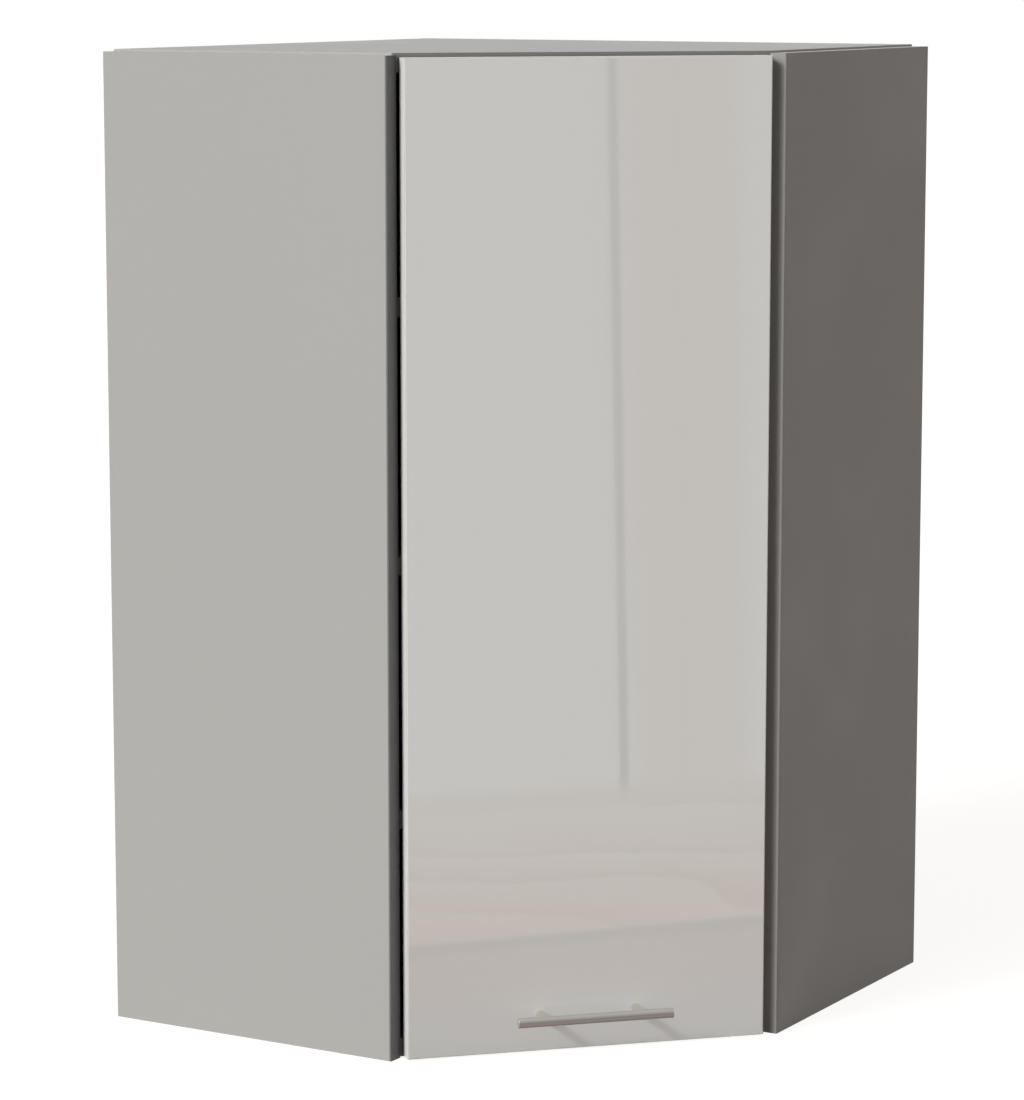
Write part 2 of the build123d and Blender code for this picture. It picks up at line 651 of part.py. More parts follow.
def make_hanger_covers():
    """Snap-on caps over the hangers' flanges and screw heads."""
    front = HANGER_BACK + HANGER_DEPTH
    tall = HANGER_TOP - HANGER_BOTTOM
    middle = (HANGER_TOP + HANGER_BOTTOM) / 2
    skin = 1.4
    corner = (front + 0.2, -INNER + HANGER_WALL + 0.1, middle)
    width = HANGER_WIDTH - HANGER_WALL - 0.1
    with BuildPart() as cover:
        with Locations(corner):
            Box(HANGER_FLANGE, width, tall, align=(Align.MIN, Align.MIN, Align.CENTER))
        fillet(cover.edges().filter_by(Axis.Z).sort_by(Axis.Y)[-2:].sort_by(Axis.X)[-1], 2.5)
        with Locations(corner):
            Box(HANGER_FLANGE - skin, width - skin, tall - 2 * skin,
                align=(Align.MIN, Align.MIN, Align.CENTER), mode=Mode.SUBTRACT)
    with BuildPart() as covers:
        add(cover.part)
        mirror(cover.part, about=MIRROR_PLANE)
    save(covers, "hanger_covers")


# ======================================================================================
# Hinges on the right side panel
# ======================================================================================
def hinge_plan(height):
    """Plan of a hinge: x from the door's hinge edge towards the handle, y from its back inwards."""
    return Plane(origin=across(HINGE_EDGE, DOOR_BACK, height), x_dir=(-1, -1, 0), z_dir=(0, 0, -1))


def on_hinge_plan(back, off):
    """Hinge-plan point `back` from the side panel's front corner and `off` its inner face."""
    corner_x = HINGE_EDGE - (INNER - (SIDE_DEPTH - HALF)) / ROOT2
    corner_y = DOOR_BACK - (INNER + (SIDE_DEPTH - HALF)) / ROOT2
    return (corner_x + (off - back) / ROOT2, corner_y + (off + back) / ROOT2)


def plate_screw_spots():
    """Screw points on a mounting plate's two wings."""
    return [(0, PLATE_SCREW_OFFSET, PLATE_WING), (0, -PLATE_SCREW_OFFSET, PLATE_WING)]


def make_hinge_plates():
    """Mounting plates: a cross of a spine along the panel and two screw wings."""
    with BuildPart() as plates:
        with Locations(*hinge_plate_faces()):
            with Locations((0, 0, PLATE_WING / 2)):
                Box(14.0, 52.0, PLATE_WING)
            with Locations((-3.0, 0, PLATE_HEIGHT / 2)):
                Box(42.0, 14.0, PLATE_HEIGHT)
            with Locations(*plate_screw_spots()):
                sunk_hole(PLATE_SCREW_HEAD, PLATE_SCREW_RADIUS, PLATE_WING)
            for back in ARM_SCREWS_BACK:
                with Locations((PLATE_FROM_FRONT - back, 0, PLATE_HEIGHT)):
                    Hole(ARM_SCREW_RADIUS + FIT, PLATE_HEIGHT - 1.0)
    save(plates, "hinge_plates")


def make_hinge_plate_screws():
    """Two system screws through each mounting plate's wings."""
    with BuildPart() as screws:
        with Locations(*hinge_plate_faces()):
            with Locations(*plate_screw_spots()):
                screw_shape(PLATE_SCREW_HEAD, PLATE_SCREW_RADIUS, PLATE_SCREW_LENGTH, 1.2)
    save(screws, "hinge_plate_screws")


def make_hinge_arms():
    """Swan-neck arms: from the plate past the door's corner, then round into the cup to the pin."""
    pin = (PIN_FROM_EDGE, -PIN_FROM_BACK)
    turn = (NECK_REACH, -PIN_FROM_BACK)
    top = (NECK_REACH, NECK_RISE)
    bend_back = (NECK_RISE - on_hinge_plan(0, ARM_OFFSET)[1]) * ROOT2
    bend = on_hinge_plan(bend_back, ARM_OFFSET)
    tail = on_hinge_plan(ARM_END_BACK, ARM_OFFSET)
    with BuildPart() as arms:
        for height in HINGE_HEIGHTS:
            with BuildSketch(hinge_plan(height)):
                with BuildLine():
                    FilletPolyline(pin, turn, top, bend, tail, radius=3.0)
                trace(line_width=ARM_THICKNESS)
                with Locations(pin):
                    Circle(ARM_NOSE_RADIUS)
            extrude(amount=ARM_HALF_HEIGHT, both=True)
        for plane in hinge_plate_faces():
            for back in ARM_SCREWS_BACK:
                with Locations(plane.offset(PLATE_HEIGHT + 4.0)):
                    with Locations((PLATE_FROM_FRONT - back, 0)):
                        Hole(ARM_SCREW_RADIUS + FIT, 5.0)
        for height in HINGE_HEIGHTS:
            with Locations(hinge_plan(height).from_local_coords((*pin, 0))):
                Cylinder(PIN_RADIUS + FIT, 3 * ARM_HALF_HEIGHT, mode=Mode.SUBTRACT)
    save(arms, "hinge_arms")


def make_hinge_arm_screws():
    """Two screws on each arm: one clamps it to the plate, the other sets its side position."""
    arm_top = PLATE_HEIGHT + ARM_THICKNESS + 2 * FIT
    with BuildPart() as screws:
        with Locations(*[plane.offset(arm_top) for plane in hinge_plate_faces()]):
            for back in ARM_SCREWS_BACK:
                with Locations((PLATE_FROM_FRONT - back, 0, -4.0)):
                    Cylinder(ARM_SCREW_RADIUS, 8.0)
                with Locations((PLATE_FROM_FRONT - back, 0, 1.0)):
                    Cylinder(ARM_SCREW_HEAD, 2.0)
                with Locations((PLATE_FROM_FRONT - back, 0, 2.0)):
                    Box(6.0, 1.0, 2.0, mode=Mode.SUBTRACT)
                    Box(1.0, 6.0, 2.0, mode=Mode.SUBTRACT)
    save(screws, "hinge_arm_screws")


def door_back_plane():
    """The door's back face: x from the hinge edge towards the handle side, y up, facing inwards."""
    return Plane(origin=across(HINGE_EDGE, DOOR_BACK), x_dir=(-1, -1, 0), z_dir=(-1, 1, 0))


def cup_spots():
    """Cup centres on the door's back face."""
    return [(CUP_CENTRE, height) for height in HINGE_HEIGHTS]


def cup_screw_spots():
    """Cup screw points on the door's back face."""
    return [(CUP_CENTRE + CUP_SCREW_SHIFT, height + side * CUP_SCREW_OFFSET)
            for height in HINGE_HEIGHTS for side in (-1, 1)]


def make_hinge_cups():
    """Hinge cups let into the door's back, each with a flange and two screw wings."""
    face = door_back_plane()
    with BuildPart() as cups:
        with BuildSketch(face):
            with Locations(*cup_spots()):
                Circle(CUP_RADIUS)
        extrude(amount=-CUP_DEPTH)
        with BuildSketch(face):
            with Locations(*cup_spots()):
                Circle(CUP_RADIUS + 1.5)
            for height in HINGE_HEIGHTS:
                with Locations((CUP_CENTRE + CUP_SCREW_SHIFT, height)):
                    RectangleRounded(14.0, 62.0, 3.0)
        extrude(amount=FLANGE)
        for spot in cup_spots():
            with BuildSketch(face.offset(FLANGE)):
                with Locations(spot):
                    Circle(CUP_RADIUS - CUP_WALL)
                    Rectangle(2 * CUP_RADIUS, CUP_WELL, mode=Mode.INTERSECT)
            extrude(amount=-(CUP_DEPTH + FLANGE - CUP_WALL), mode=Mode.SUBTRACT)
        with Locations(face.offset(FLANGE)):
            with Locations(*cup_screw_spots()):
                sunk_hole(CUP_SCREW_HEAD, CUP_SCREW_RADIUS, FLANGE)
        for height in HINGE_HEIGHTS:
            pin_middle = hinge_plan(height).from_local_coords((PIN_FROM_EDGE, -PIN_FROM_BACK, 0))
            with Locations(pin_middle):
                Cylinder(PIN_RADIUS, 2 * PIN_HALF_LENGTH, mode=Mode.SUBTRACT)
    save(cups, "hinge_cups")


def make_hinge_pins():
    """The hinge pins, fixed in the cups' cheeks: the door turns on their common axis."""
    with BuildPart() as pins:
        for height in HINGE_HEIGHTS:
            with Locations(hinge_plan(height).from_local_coords((PIN_FROM_EDGE, -PIN_FROM_BACK, 0))):
                Cylinder(PIN_RADIUS, 2 * PIN_HALF_LENGTH)
    save(pins, "hinge_pins")


def make_cup_screws():
    """Two wood screws through each cup's wings."""
    with BuildPart() as screws:
        with Locations(door_back_plane().offset(FLANGE)):
            with Locations(*cup_screw_spots()):
                screw_shape(CUP_SCREW_HEAD, CUP_SCREW_RADIUS, CUP_SCREW_LENGTH, 0.9)
    save(screws, "hinge_cup_screws")


# ======================================================================================
# Door and handle
# ======================================================================================
def door_front_plane():
    """The door's front face: x to the right, y up, facing the room."""
    return Plane(origin=across(0, DOOR_FRONT), x_dir=(1, 1, 0), z_dir=(1, -1, 0))


def handle_spots():
    """Handle post centres on the door's front face."""
    return [(-HANDLE_PITCH / 2, HANDLE_HEIGHT), (HANDLE_PITCH / 2, HANDLE_HEIGHT)]


def make_door_leaf():
    """The door: a board with a softened front, bored for cups, cup screws and handle screws."""
    front = door_front_plane()
    back = door_back_plane()
    with BuildPart() as door:
        with BuildSketch(front):
            with Locations((0, DOOR_LIFT + DOOR_HEIGHT / 2)):
                Rectangle(DOOR_WIDTH, DOOR_HEIGHT)
        extrude(amount=-BOARD)
        fillet(door.faces().sort_by(Axis(origin=(0, 0, 0), direction=(1, -1, 0)))[-1].edges(), DOOR_ROUND)
        with BuildSketch(back):
            with Locations(*cup_spots()):
                Circle(CUP_RADIUS + FIT)
        extrude(amount=-(CUP_DEPTH + 0.1), mode=Mode.SUBTRACT)
        with BuildSketch(back):
            with Locations(*cup_screw_spots()):
                Circle(CUP_SCREW_RADIUS + FIT)
        extrude(amount=-(CUP_SCREW_LENGTH - FLANGE + BOTTOMING), mode=Mode.SUBTRACT)
        with BuildSketch(front):
            with Locations(*handle_spots()):
                Circle(HANDLE_SCREW_RADIUS + 4 * FIT)
        extrude(amount=-BOARD, mode=Mode.SUBTRACT)
    save(door, "door_leaf")


def bar_end_plane():
    """The plane of the bar's left end, facing along the bar."""
    end = across(-HANDLE_LENGTH / 2, DOOR_FRONT + HANDLE_STANDOFF, HANDLE_HEIGHT)
    return Plane(origin=end, z_dir=(1, 1, 0))


def make_handle_bar():
    """The handle's round bar, its ends softened."""
    with BuildPart() as bar:
        with BuildSketch(bar_end_plane()):
            Circle(BAR_RADIUS)
        extrude(amount=HANDLE_LENGTH)
        fillet(bar.edges().filter_by(GeomType.CIRCLE), 0.5)
    save(bar, "handle_bar")


def make_handle_posts():
    """Two round posts between the door and the bar, their ends hollowed to fit the bar."""
    front = door_front_plane()
    with BuildPart() as posts:
        with BuildSketch(front):
            with Locations(*handle_spots()):
                Circle(POST_RADIUS)
        extrude(amount=HANDLE_STANDOFF)
        with BuildSketch(bar_end_plane()):
            Circle(BAR_RADIUS)
        extrude(amount=HANDLE_LENGTH, mode=Mode.SUBTRACT)
        with BuildSketch(front):
            with Locations(*handle_spots()):
                Circle(HANDLE_SCREW_RADIUS + FIT)
        extrude(amount=HANDLE_SCREW_REACH + 2 * BOTTOMING, mode=Mode.SUBTRACT)
    save(posts, "handle_posts")


def make_handle_screws():
    """Two screws through the door from behind into the posts."""
    back = door_front_plane().offset(-BOARD)
    with BuildPart() as screws:
        with BuildSketch(back):
            with Locations(*handle_spots()):
                Circle(HANDLE_SCREW_RADIUS)
        extrude(amount=BOARD + HANDLE_SCREW_REACH)
        with BuildSketch(back):
            with Locations(*handle_spots()):
                Circle(HANDLE_SCREW_HEAD)
        extrude(amount=-HANDLE_SCREW_HEAD_HEIGHT)
        with BuildSketch(back.offset(-HANDLE_SCREW_HEAD_HEIGHT)):
            with Locations(*handle_spots()):
                Rectangle(5.0, 1.0)
                Rectangle(1.0, 5.0)
        extrude(amount=HANDLE_SCREW_SLOT, mode=Mode.SUBTRACT)
    save(screws, "handle_screws")


def make_door_bumpers():
    """Soft pads on the door's back that meet the front edges of the top and bottom boards."""
    inwards = Axis(origin=(0, 0, 0), direction=(-1, 1, 0))
    spots = [(DOOR_WIDTH - BUMPER_INSET, height) for height in BUMPER_HEIGHTS]
    with BuildPart() as bumpers:
        with BuildSketch(door_back_plane()):
            with Locations(*spots):
                Circle(BUMPER_RADIUS)
        extrude(amount=DOOR_GAP - BUMPER_PLAY)
        fillet(bumpers.edges().filter_by(GeomType.CIRCLE).group_by(inwards)[-1], BUMPER_ROUND)
    save(bumpers, "door_bumpers")


make_side_panels()
make_side_edge_bands()
make_top_board()
make_bottom_board()
make_board_edge_bands()
make_shelves()
make_back_panels()
make_rear_corner_post()
make_post_screws()
make_back_screws()
make_cam_bolts()
make_cam_locks()
make_dowels()
make_shelf_pins()
make_hanger_housings()
make_hanger_carriages()
make_hanger_hooks()
make_hanger_screws()
make_hanger_covers()
make_hinge_plates()
make_hinge_plate_screws()
make_hinge_arms()
make_hinge_arm_screws()
make_hinge_cups()
make_hinge_pins()
make_cup_screws()
make_door_leaf()
make_handle_bar()
make_handle_posts()
make_handle_screws()
make_door_bumpers()
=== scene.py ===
"""Corner wall cabinet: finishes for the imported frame, a turned bar handle and the stage."""

import math

import bmesh
import bpy
from bpy.props import FloatProperty, FloatVectorProperty, PointerProperty
from mathutils import Matrix, Vector


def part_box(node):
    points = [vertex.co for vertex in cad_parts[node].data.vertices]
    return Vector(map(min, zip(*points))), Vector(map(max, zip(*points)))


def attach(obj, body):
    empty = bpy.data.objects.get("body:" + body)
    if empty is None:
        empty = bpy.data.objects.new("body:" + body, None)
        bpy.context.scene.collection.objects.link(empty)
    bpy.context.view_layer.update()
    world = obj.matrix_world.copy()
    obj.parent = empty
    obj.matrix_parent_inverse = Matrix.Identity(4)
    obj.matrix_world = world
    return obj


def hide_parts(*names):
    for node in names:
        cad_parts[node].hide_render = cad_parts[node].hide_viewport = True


bl_info = {
    "name": "Corner Wall Cabinet",
    "version": (1, 0, 0),
    "blender": (4, 5, 0),
    "location": "View3D > Sidebar > Cabinet",
    "description": "Finishes, handle and stage of a diagonal corner wall cabinet",
    "category": "Object",
}

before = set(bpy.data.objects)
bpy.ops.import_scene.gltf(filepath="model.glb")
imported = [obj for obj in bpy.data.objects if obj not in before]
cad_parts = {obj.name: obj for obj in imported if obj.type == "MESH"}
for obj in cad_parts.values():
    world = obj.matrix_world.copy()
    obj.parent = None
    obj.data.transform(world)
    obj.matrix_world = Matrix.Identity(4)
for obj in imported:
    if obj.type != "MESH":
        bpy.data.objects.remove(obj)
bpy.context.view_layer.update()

HALF = math.sqrt(0.5)
ALONG_DOOR = Vector((HALF, HALF, 0.0))
OUT_OF_DOOR = Vector((HALF, -HALF, 0.0))
DOOR_TURN = math.radians(-45.0)

BAR_LOW, BAR_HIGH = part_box("handle_bar")
POSTS_LOW, POSTS_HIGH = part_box("handle_posts")
DOOR_LOW, DOOR_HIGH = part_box("door_leaf")
BAR_RADIUS = (BAR_HIGH.z - BAR_LOW.z) / 2
BAR_CENTRE = (BAR_LOW + BAR_HIGH) / 2
BAR_LENGTH = (BAR_HIGH.x - BAR_LOW.x) / HALF - 2 * BAR_RADIUS
POST_RADIUS = (POSTS_HIGH.z - POSTS_LOW.z) / 2
DOOR_OUTS = [v.co.dot(OUT_OF_DOOR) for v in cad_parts["door_leaf"].data.vertices]
DOOR_ALONGS = [v.co.dot(ALONG_DOOR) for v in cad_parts["door_leaf"].data.vertices]
DOOR_REAR, DOOR_FACE = min(DOOR_OUTS), max(DOOR_OUTS)
DOOR_START, DOOR_END = min(DOOR_ALONGS), max(DOOR_ALONGS)

# Skin thickness: a cut or bored surface lies at least this far under a board's face.
SKIN = 0.0003
# How far a box runs past an edge that has no band, so that the cut edge counts as inside it.
OPEN = 0.001
# Where a board's edges have no band: the low and high sides of its box along X, Y and Z.
BARE_EDGES = {
    "left_side_panel": ((1, 0, 0), (0, 0, 0)),
    "right_side_panel": ((0, 0, 0), (0, 1, 0)),
    "top_board": ((1, 0, 0), (0, 1, 0)),
    "bottom_board": ((1, 0, 0), (0, 1, 0)),
    "lower_shelf": ((1, 1, 0), (1, 1, 0)),
    "middle_shelf": ((1, 1, 0), (1, 1, 0)),
    "upper_shelf": ((1, 1, 0), (1, 1, 0)),
}
# The bare side of hardboard starts this far behind its painted face.
PAINT = 0.0002
# The door's gloss starts on its rounded edge, this far behind the face, and is whole at the second.
GLOSS_STARTS, GLOSS_WHOLE = 0.0013, 0.0004
# How far a post ends short of the bar's axis, in radii of the bar.
POST_SHORT = 0.6
# Two faces that meet at less than this are shaded as one curve.
SMOOTH_UNDER = math.radians(40.0)
# Specular level of melamine and of edge band.
MELAMINE_SHINE = 0.2
# How much of the top board its dust covers at most, and the dust's colour.
DUST_COVER, DUST_COLOUR = 0.16, (0.40, 0.42, 0.47, 1.0)
# Tone of the right band beside the boards, darker than its own pale colour as painted shade, and of
# the left band where it is deepest in the gap, as painted shade of the gap beside the door.
RIGHT_BAND_PAINTED_SHADE, GAP_PAINTED_SHADE = 0.76, 0.28
# The part of its range that a noise mostly keeps to.
SPREAD = (0.3, 0.7)
WHOLE, FALLING = (0.0, 1.0), (1.0, 0.0)


# Sizes and colours a user would change

TINT = {"min": 0.0, "max": 1.0, "subtype": "COLOR"}
ALL_ROUND = {"min": -math.pi, "max": math.pi, "subtype": "ANGLE", "unit": "ROTATION"}
ABOVE_GROUND = {"min": 0.0, "max": math.pi / 2, "subtype": "ANGLE", "unit": "ROTATION"}
POWER = {"min": 0.0, "max": 10.0}


def lengths(least, most):
    """The limits and unit of a length."""
    return {"min": least, "max": most, "subtype": "DISTANCE", "unit": "LENGTH"}


class CabinetFinishes(bpy.types.PropertyGroup):
    board: FloatVectorProperty(
        name="Board face",
        description="Colour of the melamine face of the carcase boards and shelves",
        default=(0.452, 0.447, 0.423),
        **TINT,
    )
    # Painted shade: this dark colour stands for the shade on the front edges of the top and bottom
    # boards, and the left band takes it too.
    painted_shade_band: FloatVectorProperty(
        name="Top and bottom band",
        description="Colour of the edge band on the front of the top and bottom boards",
        default=(0.235, 0.235, 0.235),
        **TINT,
    )
    door: FloatVectorProperty(
        name="Door face",
        description="Colour under the gloss of the door",
        default=(0.861, 0.863, 0.834),
        **TINT,
    )
    core_light: FloatVectorProperty(
        name="Chipboard, light flakes",
        description="Lighter flakes on a cut edge of chipboard",
        default=(0.56, 0.41, 0.25),
        **TINT,
    )
    core_dark: FloatVectorProperty(
        name="Chipboard, dark flakes",
        description="Darker flakes and gaps on a cut edge of chipboard",
        default=(0.24, 0.145, 0.075),
        **TINT,
    )
    hardboard: FloatVectorProperty(
        name="Hardboard",
        description="Colour of the bare rear face of the back panels",
        default=(0.27, 0.155, 0.078),
        **TINT,
    )
    timber: FloatVectorProperty(
        name="Bare softwood",
        description="Colour of the corner post and the dowels",
        default=(0.62, 0.43, 0.235),
        **TINT,
    )
    plastic: FloatVectorProperty(
        name="Hanger plastic",
        description="Colour of the hanger housings and their covers",
        default=(0.60, 0.595, 0.57),
        **TINT,
    )
    handle: FloatVectorProperty(
        name="Handle steel",
        description="Colour of the satin steel of the handle",
        default=(0.78, 0.745, 0.70),
        **TINT,
    )
    plate: FloatVectorProperty(
        name="Plated steel",
        description="Colour of the nickel plate on hinges, screws and shelf pins",
        default=(0.70, 0.685, 0.65),
        **TINT,
    )
    zinc: FloatVectorProperty(
        name="Cast zinc",
        description="Colour of the cam locks",
        default=(0.43, 0.43, 0.43),
        **TINT,
    )
    pearl: FloatProperty(
        name="Pearl grain",
        description="Size of the fine grain pressed into the melamine",
        default=0.0009,
        **lengths(0.0002, 0.01),
    )
    flake: FloatProperty(
        name="Chipboard flake",
        description="Size of one flake on a cut edge",
        default=0.0022,
        **lengths(0.0005, 0.01),
    )
    peel: FloatProperty(
        name="Gloss ripple",
        description="Length of the faint ripple in the door's gloss",
        default=0.012,
        **lengths(0.001, 0.1),
    )


class CabinetHandle(bpy.types.PropertyGroup):
    length: FloatProperty(
        name="Bar length",
        description="Length of the handle's bar from end to end",
        default=BAR_LENGTH,
        **lengths(0.05, 0.34),
    )
    bar_radius: FloatProperty(
        name="Bar radius",
        description="Half of the bar's diameter",
        default=BAR_RADIUS,
        **lengths(0.002, 0.01),
    )
    post_radius: FloatProperty(
        name="Post radius",
        description="Half of a post's diameter",
        default=POST_RADIUS,
        **lengths(0.002, 0.01),
    )
    pitch: FloatProperty(
        name="Post pitch",
        description="Distance between the middles of the two posts",
        default=0.096,
        **lengths(0.03, 0.32),
    )
    end_round: FloatProperty(
        name="End round",
        description="Width of the rounded edge at the bar's ends",
        default=0.0005,
        **lengths(0.0001, 0.002),
    )


class CabinetStage(bpy.types.PropertyGroup):
    key_turn: FloatProperty(
        name="Key lamp turn",
        description="Direction of the small lamp round the cabinet, 0 in front of its left side",
        default=math.radians(-20.5),
        **ALL_ROUND,
    )
    key_rise: FloatProperty(
        name="Key lamp rise",
        description="Height of the small lamp above the horizon",
        default=math.radians(34.5),
        **ABOVE_GROUND,
    )
    key_power: FloatProperty(
        name="Key lamp power",
        description="Strength of the small lamp",
        default=0.9,
        **POWER,
    )
    soft_turn: FloatProperty(
        name="Soft lamp turn",
        description="Direction of the wide lamp round the cabinet",
        default=math.radians(-17.6),
        **ALL_ROUND,
    )
    soft_rise: FloatProperty(
        name="Soft lamp rise",
        description="Height of the wide lamp above the horizon",
        default=math.radians(28.8),
        **ABOVE_GROUND,
    )
    soft_power: FloatProperty(
        name="Soft lamp power",
        description="Strength of the wide lamp",
        default=2.03,
        **POWER,
    )
    surround: FloatVectorProperty(
        name="Surround",
        description="Colour of the light that comes from all round",
        default=(0.265, 0.257, 0.259),
        **TINT,
    )
    floor_radius: FloatProperty(
        name="Floor radius",
        description="Half of the floor's width",
        default=30.0,
        **lengths(2.0, 200.0),
    )
    screen_gap: FloatProperty(
        name="Screen distance",
        description="Distance from the door to the foot of the screen that shows in its gloss",
        default=1.05,
        **lengths(0.3, 5.0),
    )


# Nodes

VALUE, VECTOR, COLOUR = "NodeSocketFloat", "NodeSocketVector", "NodeSocketColor"


def put(tree, kind, values=None, **settings):
    """Adds a node. A value that is another node's socket is joined, any other is set."""
    node = tree.nodes.new(kind)
    for name, setting in settings.items():
        setattr(node, name, setting)
    for socket, value in (values or {}).items():
        if isinstance(value, bpy.types.NodeSocket):
            tree.links.new(value, node.inputs[socket])
        else:
            node.inputs[socket].default_value = value
    return node


def number(tree, operation, *values, clamp=False):
    """The result of a Math node."""
    settings = {"operation": operation, "use_clamp": clamp}
    return put(tree, "ShaderNodeMath", dict(enumerate(values)), **settings).outputs[0]


def vector(tree, operation, *values):
    """The result of a Vector Math node, a number for a dot product."""
    node = put(tree, "ShaderNodeVectorMath", dict(enumerate(values)), operation=operation)
    return node.outputs["Value" if operation == "DOT_PRODUCT" else "Vector"]


def add_shares(tree, first, second):
    """The sum of two values, each given with its share."""
    return number(tree, "MULTIPLY_ADD", *first, number(tree, "MULTIPLY", *second))


def blend(tree, factor, first, second):
    """One colour turning into another as the factor goes from 0 to 1."""
    values = {0: factor, 6: first, 7: second}
    return put(tree, "ShaderNodeMix", values, data_type="RGBA").outputs[2]


def rerange(tree, value, given, wanted=WHOLE, smooth=False):
    """A number moved from one range to another and kept inside it."""
    sockets = ("Value", "From Min", "From Max", "To Min", "To Max")
    values = dict(zip(sockets, (value, *given, *wanted)))
    kind = "SMOOTHSTEP" if smooth else "LINEAR"
    return put(tree, "ShaderNodeMapRange", values, interpolation_type=kind).outputs["Result"]


def ramp(tree, factor, stops):
    """A colour ramp with stops of (place, colour)."""
    node = put(tree, "ShaderNodeValToRGB", {"Fac": factor})
    elements = node.color_ramp.elements
    while len(elements) < len(stops):
        elements.new(0.5)
    for element, (place, colour) in zip(elements, stops):
        element.position = place
        element.color = (*colour, 1.0)
    return node.outputs["Color"]


def noise(tree, place, scale, detail=2.0, roughness=0.5, distortion=0.0):
    """The height of a noise texture, 0 to 1."""
    sockets = ("Vector", "Scale", "Detail", "Roughness", "Distortion")
    values = dict(zip(sockets, (place, scale, detail, roughness, distortion)))
    return put(tree, "ShaderNodeTexNoise", values).outputs["Fac"]


def turned(tree, place, turn):
    """The same place after a turn about the origin."""
    return put(tree, "ShaderNodeMapping", {"Vector": place, "Rotation": turn}).outputs[0]


def own_place(tree):
    """The piece's own coordinates."""
    return put(tree, "ShaderNodeTexCoord").outputs["Object"]


def rgba(colour, factor=1.0):
    """A colour with full cover, lightened or darkened by the factor."""
    return (*[min(1.0, c * factor) for c in colour], 1.0)


def tint(tree, factor, colour, dark, light):
    """A colour that goes from its dark to its light tone with the factor."""
    return blend(tree, factor, rgba(colour, dark), rgba(colour, light))


def new_group(name, inputs, *outputs):
    """A node group that takes a place and its inputs, and its input and output nodes."""
    group = bpy.data.node_groups.new(name, "ShaderNodeTree")
    for label, default in {"Place": (0, 0, 0), **inputs}.items():
        kind = {1: VALUE, 3: VECTOR, 4: COLOUR}[len(default) if isinstance(default, tuple) else 1]
        socket = group.interface.new_socket(label, in_out="INPUT", socket_type=kind)
        socket.default_value = default
    for label in outputs:
        kind = COLOUR if label == "Color" else VALUE
        group.interface.new_socket(label, in_out="OUTPUT", socket_type=kind)
    return group, put(group, "NodeGroupInput").outputs, put(group, "NodeGroupOutput").inputs


def give(group, result, **values):
    """Joins values to a group's outputs."""
    for label, value in values.items():
        group.links.new(value, result[label])


def use_group(tree, name, values):
    """Places a node group and returns its outputs."""
    return put(tree, "ShaderNodeGroup", values, node_tree=bpy.data.node_groups[name]).outputs


def build_inside_box():
    """Mask of what lies inside a box: cut edges and bored holes, but not the skins."""
    inputs = {"Low": (0, 0, 0), "High": (1, 1, 1)}
    group, given, result = new_group("Inside box", inputs, "Inside")
    above = vector(group, "SUBTRACT", given["Place"], given["Low"])
    below = vector(group, "SUBTRACT", given["High"], given["Place"])
    nearest = vector(group, "MINIMUM", above, below)
    parts = put(group, "ShaderNodeSeparateXYZ", {0: nearest}).outputs
    least = number(group, "MINIMUM", number(group, "MINIMUM", parts[0], parts[1]), parts[2])
    give(group, result, Inside=number(group, "GREATER_THAN", least, 0.0))


def build_pearl():
    """Fine pressed grain with a slow change of tone under it."""
    inputs = {"Grain Scale": 1100.0, "Cloud Scale": 5.0}
    group, given, result = new_group("Pearl grain", inputs, "Tone", "Height")
    grain = noise(group, given["Place"], given["Grain Scale"], 2.0, 0.6)
    cloud = noise(group, given["Place"], given["Cloud Scale"], 3.0)
    give(group, result, Tone=add_shares(group, (grain, 0.45), (cloud, 0.55)), Height=grain)


def build_core():
    """Chipboard on a cut edge: pressed flakes, coarse in the middle, with dark gaps."""
    inputs = {"Scale": 450.0, "Light": (0.56, 0.41, 0.25, 1), "Dark": (0.24, 0.145, 0.075, 1)}
    group, given, result = new_group("Chipboard core", inputs, "Color", "Height")
    values = {"Vector": given["Place"], "Scale": given["Scale"], "Randomness": 1.0}
    flakes = put(group, "ShaderNodeTexVoronoi", values).outputs
    shade = put(group, "ShaderNodeSeparateColor", {0: flakes["Color"]}).outputs[0]
    fine = number(group, "MULTIPLY", given["Scale"], 4.0)
    fibres = noise(group, given["Place"], fine, 3.0, 0.7)
    gaps = rerange(group, flakes["Distance"], (0.35, 0.75), (0.0, 0.8), smooth=True)
    dark = number(group, "MAXIMUM", gaps, number(group, "MULTIPLY", shade, 0.6))
    uneven = number(group, "SUBTRACT", fibres, 0.5)
    dark = number(group, "MULTIPLY_ADD", uneven, 0.5, dark, clamp=True)
    colour = blend(group, dark, given["Light"], given["Dark"])
    give(group, result, Color=colour, Height=number(group, "SUBTRACT", fibres, gaps))


def build_marks():
    """Smudges and faint rubbed patches left by hands and packing."""
    group, given, result = new_group("Handling marks", {"Scale": 9.0}, "Amount")
    patches = noise(group, given["Place"], given["Scale"], 4.0, 0.55, 0.6)
    specks = noise(group, given["Place"], number(group, "MULTIPLY", given["Scale"], 22.0), 2.0)
    soft = rerange(group, patches, (0.45, 0.72), smooth=True)
    spotted = rerange(group, specks, SPREAD, (0.55, 1.0))
    give(group, result, Amount=number(group, "MULTIPLY", soft, spotted))


def build_dust():
    """Thin dust that settles on faces that look up."""
    inputs = {"Facing": (0, 0, 1), "Scale": 30.0}
    group, given, result = new_group("Settled dust", inputs, "Amount")
    up = put(group, "ShaderNodeSeparateXYZ", {0: given["Facing"]}).outputs[2]
    level = rerange(group, up, (0.75, 0.98), smooth=True)
    cloud = noise(group, given["Place"], given["Scale"], 5.0, 0.65)
    give(group, result, Amount=number(group, "MULTIPLY", level, rerange(group, cloud, (0.38, 0.7))))


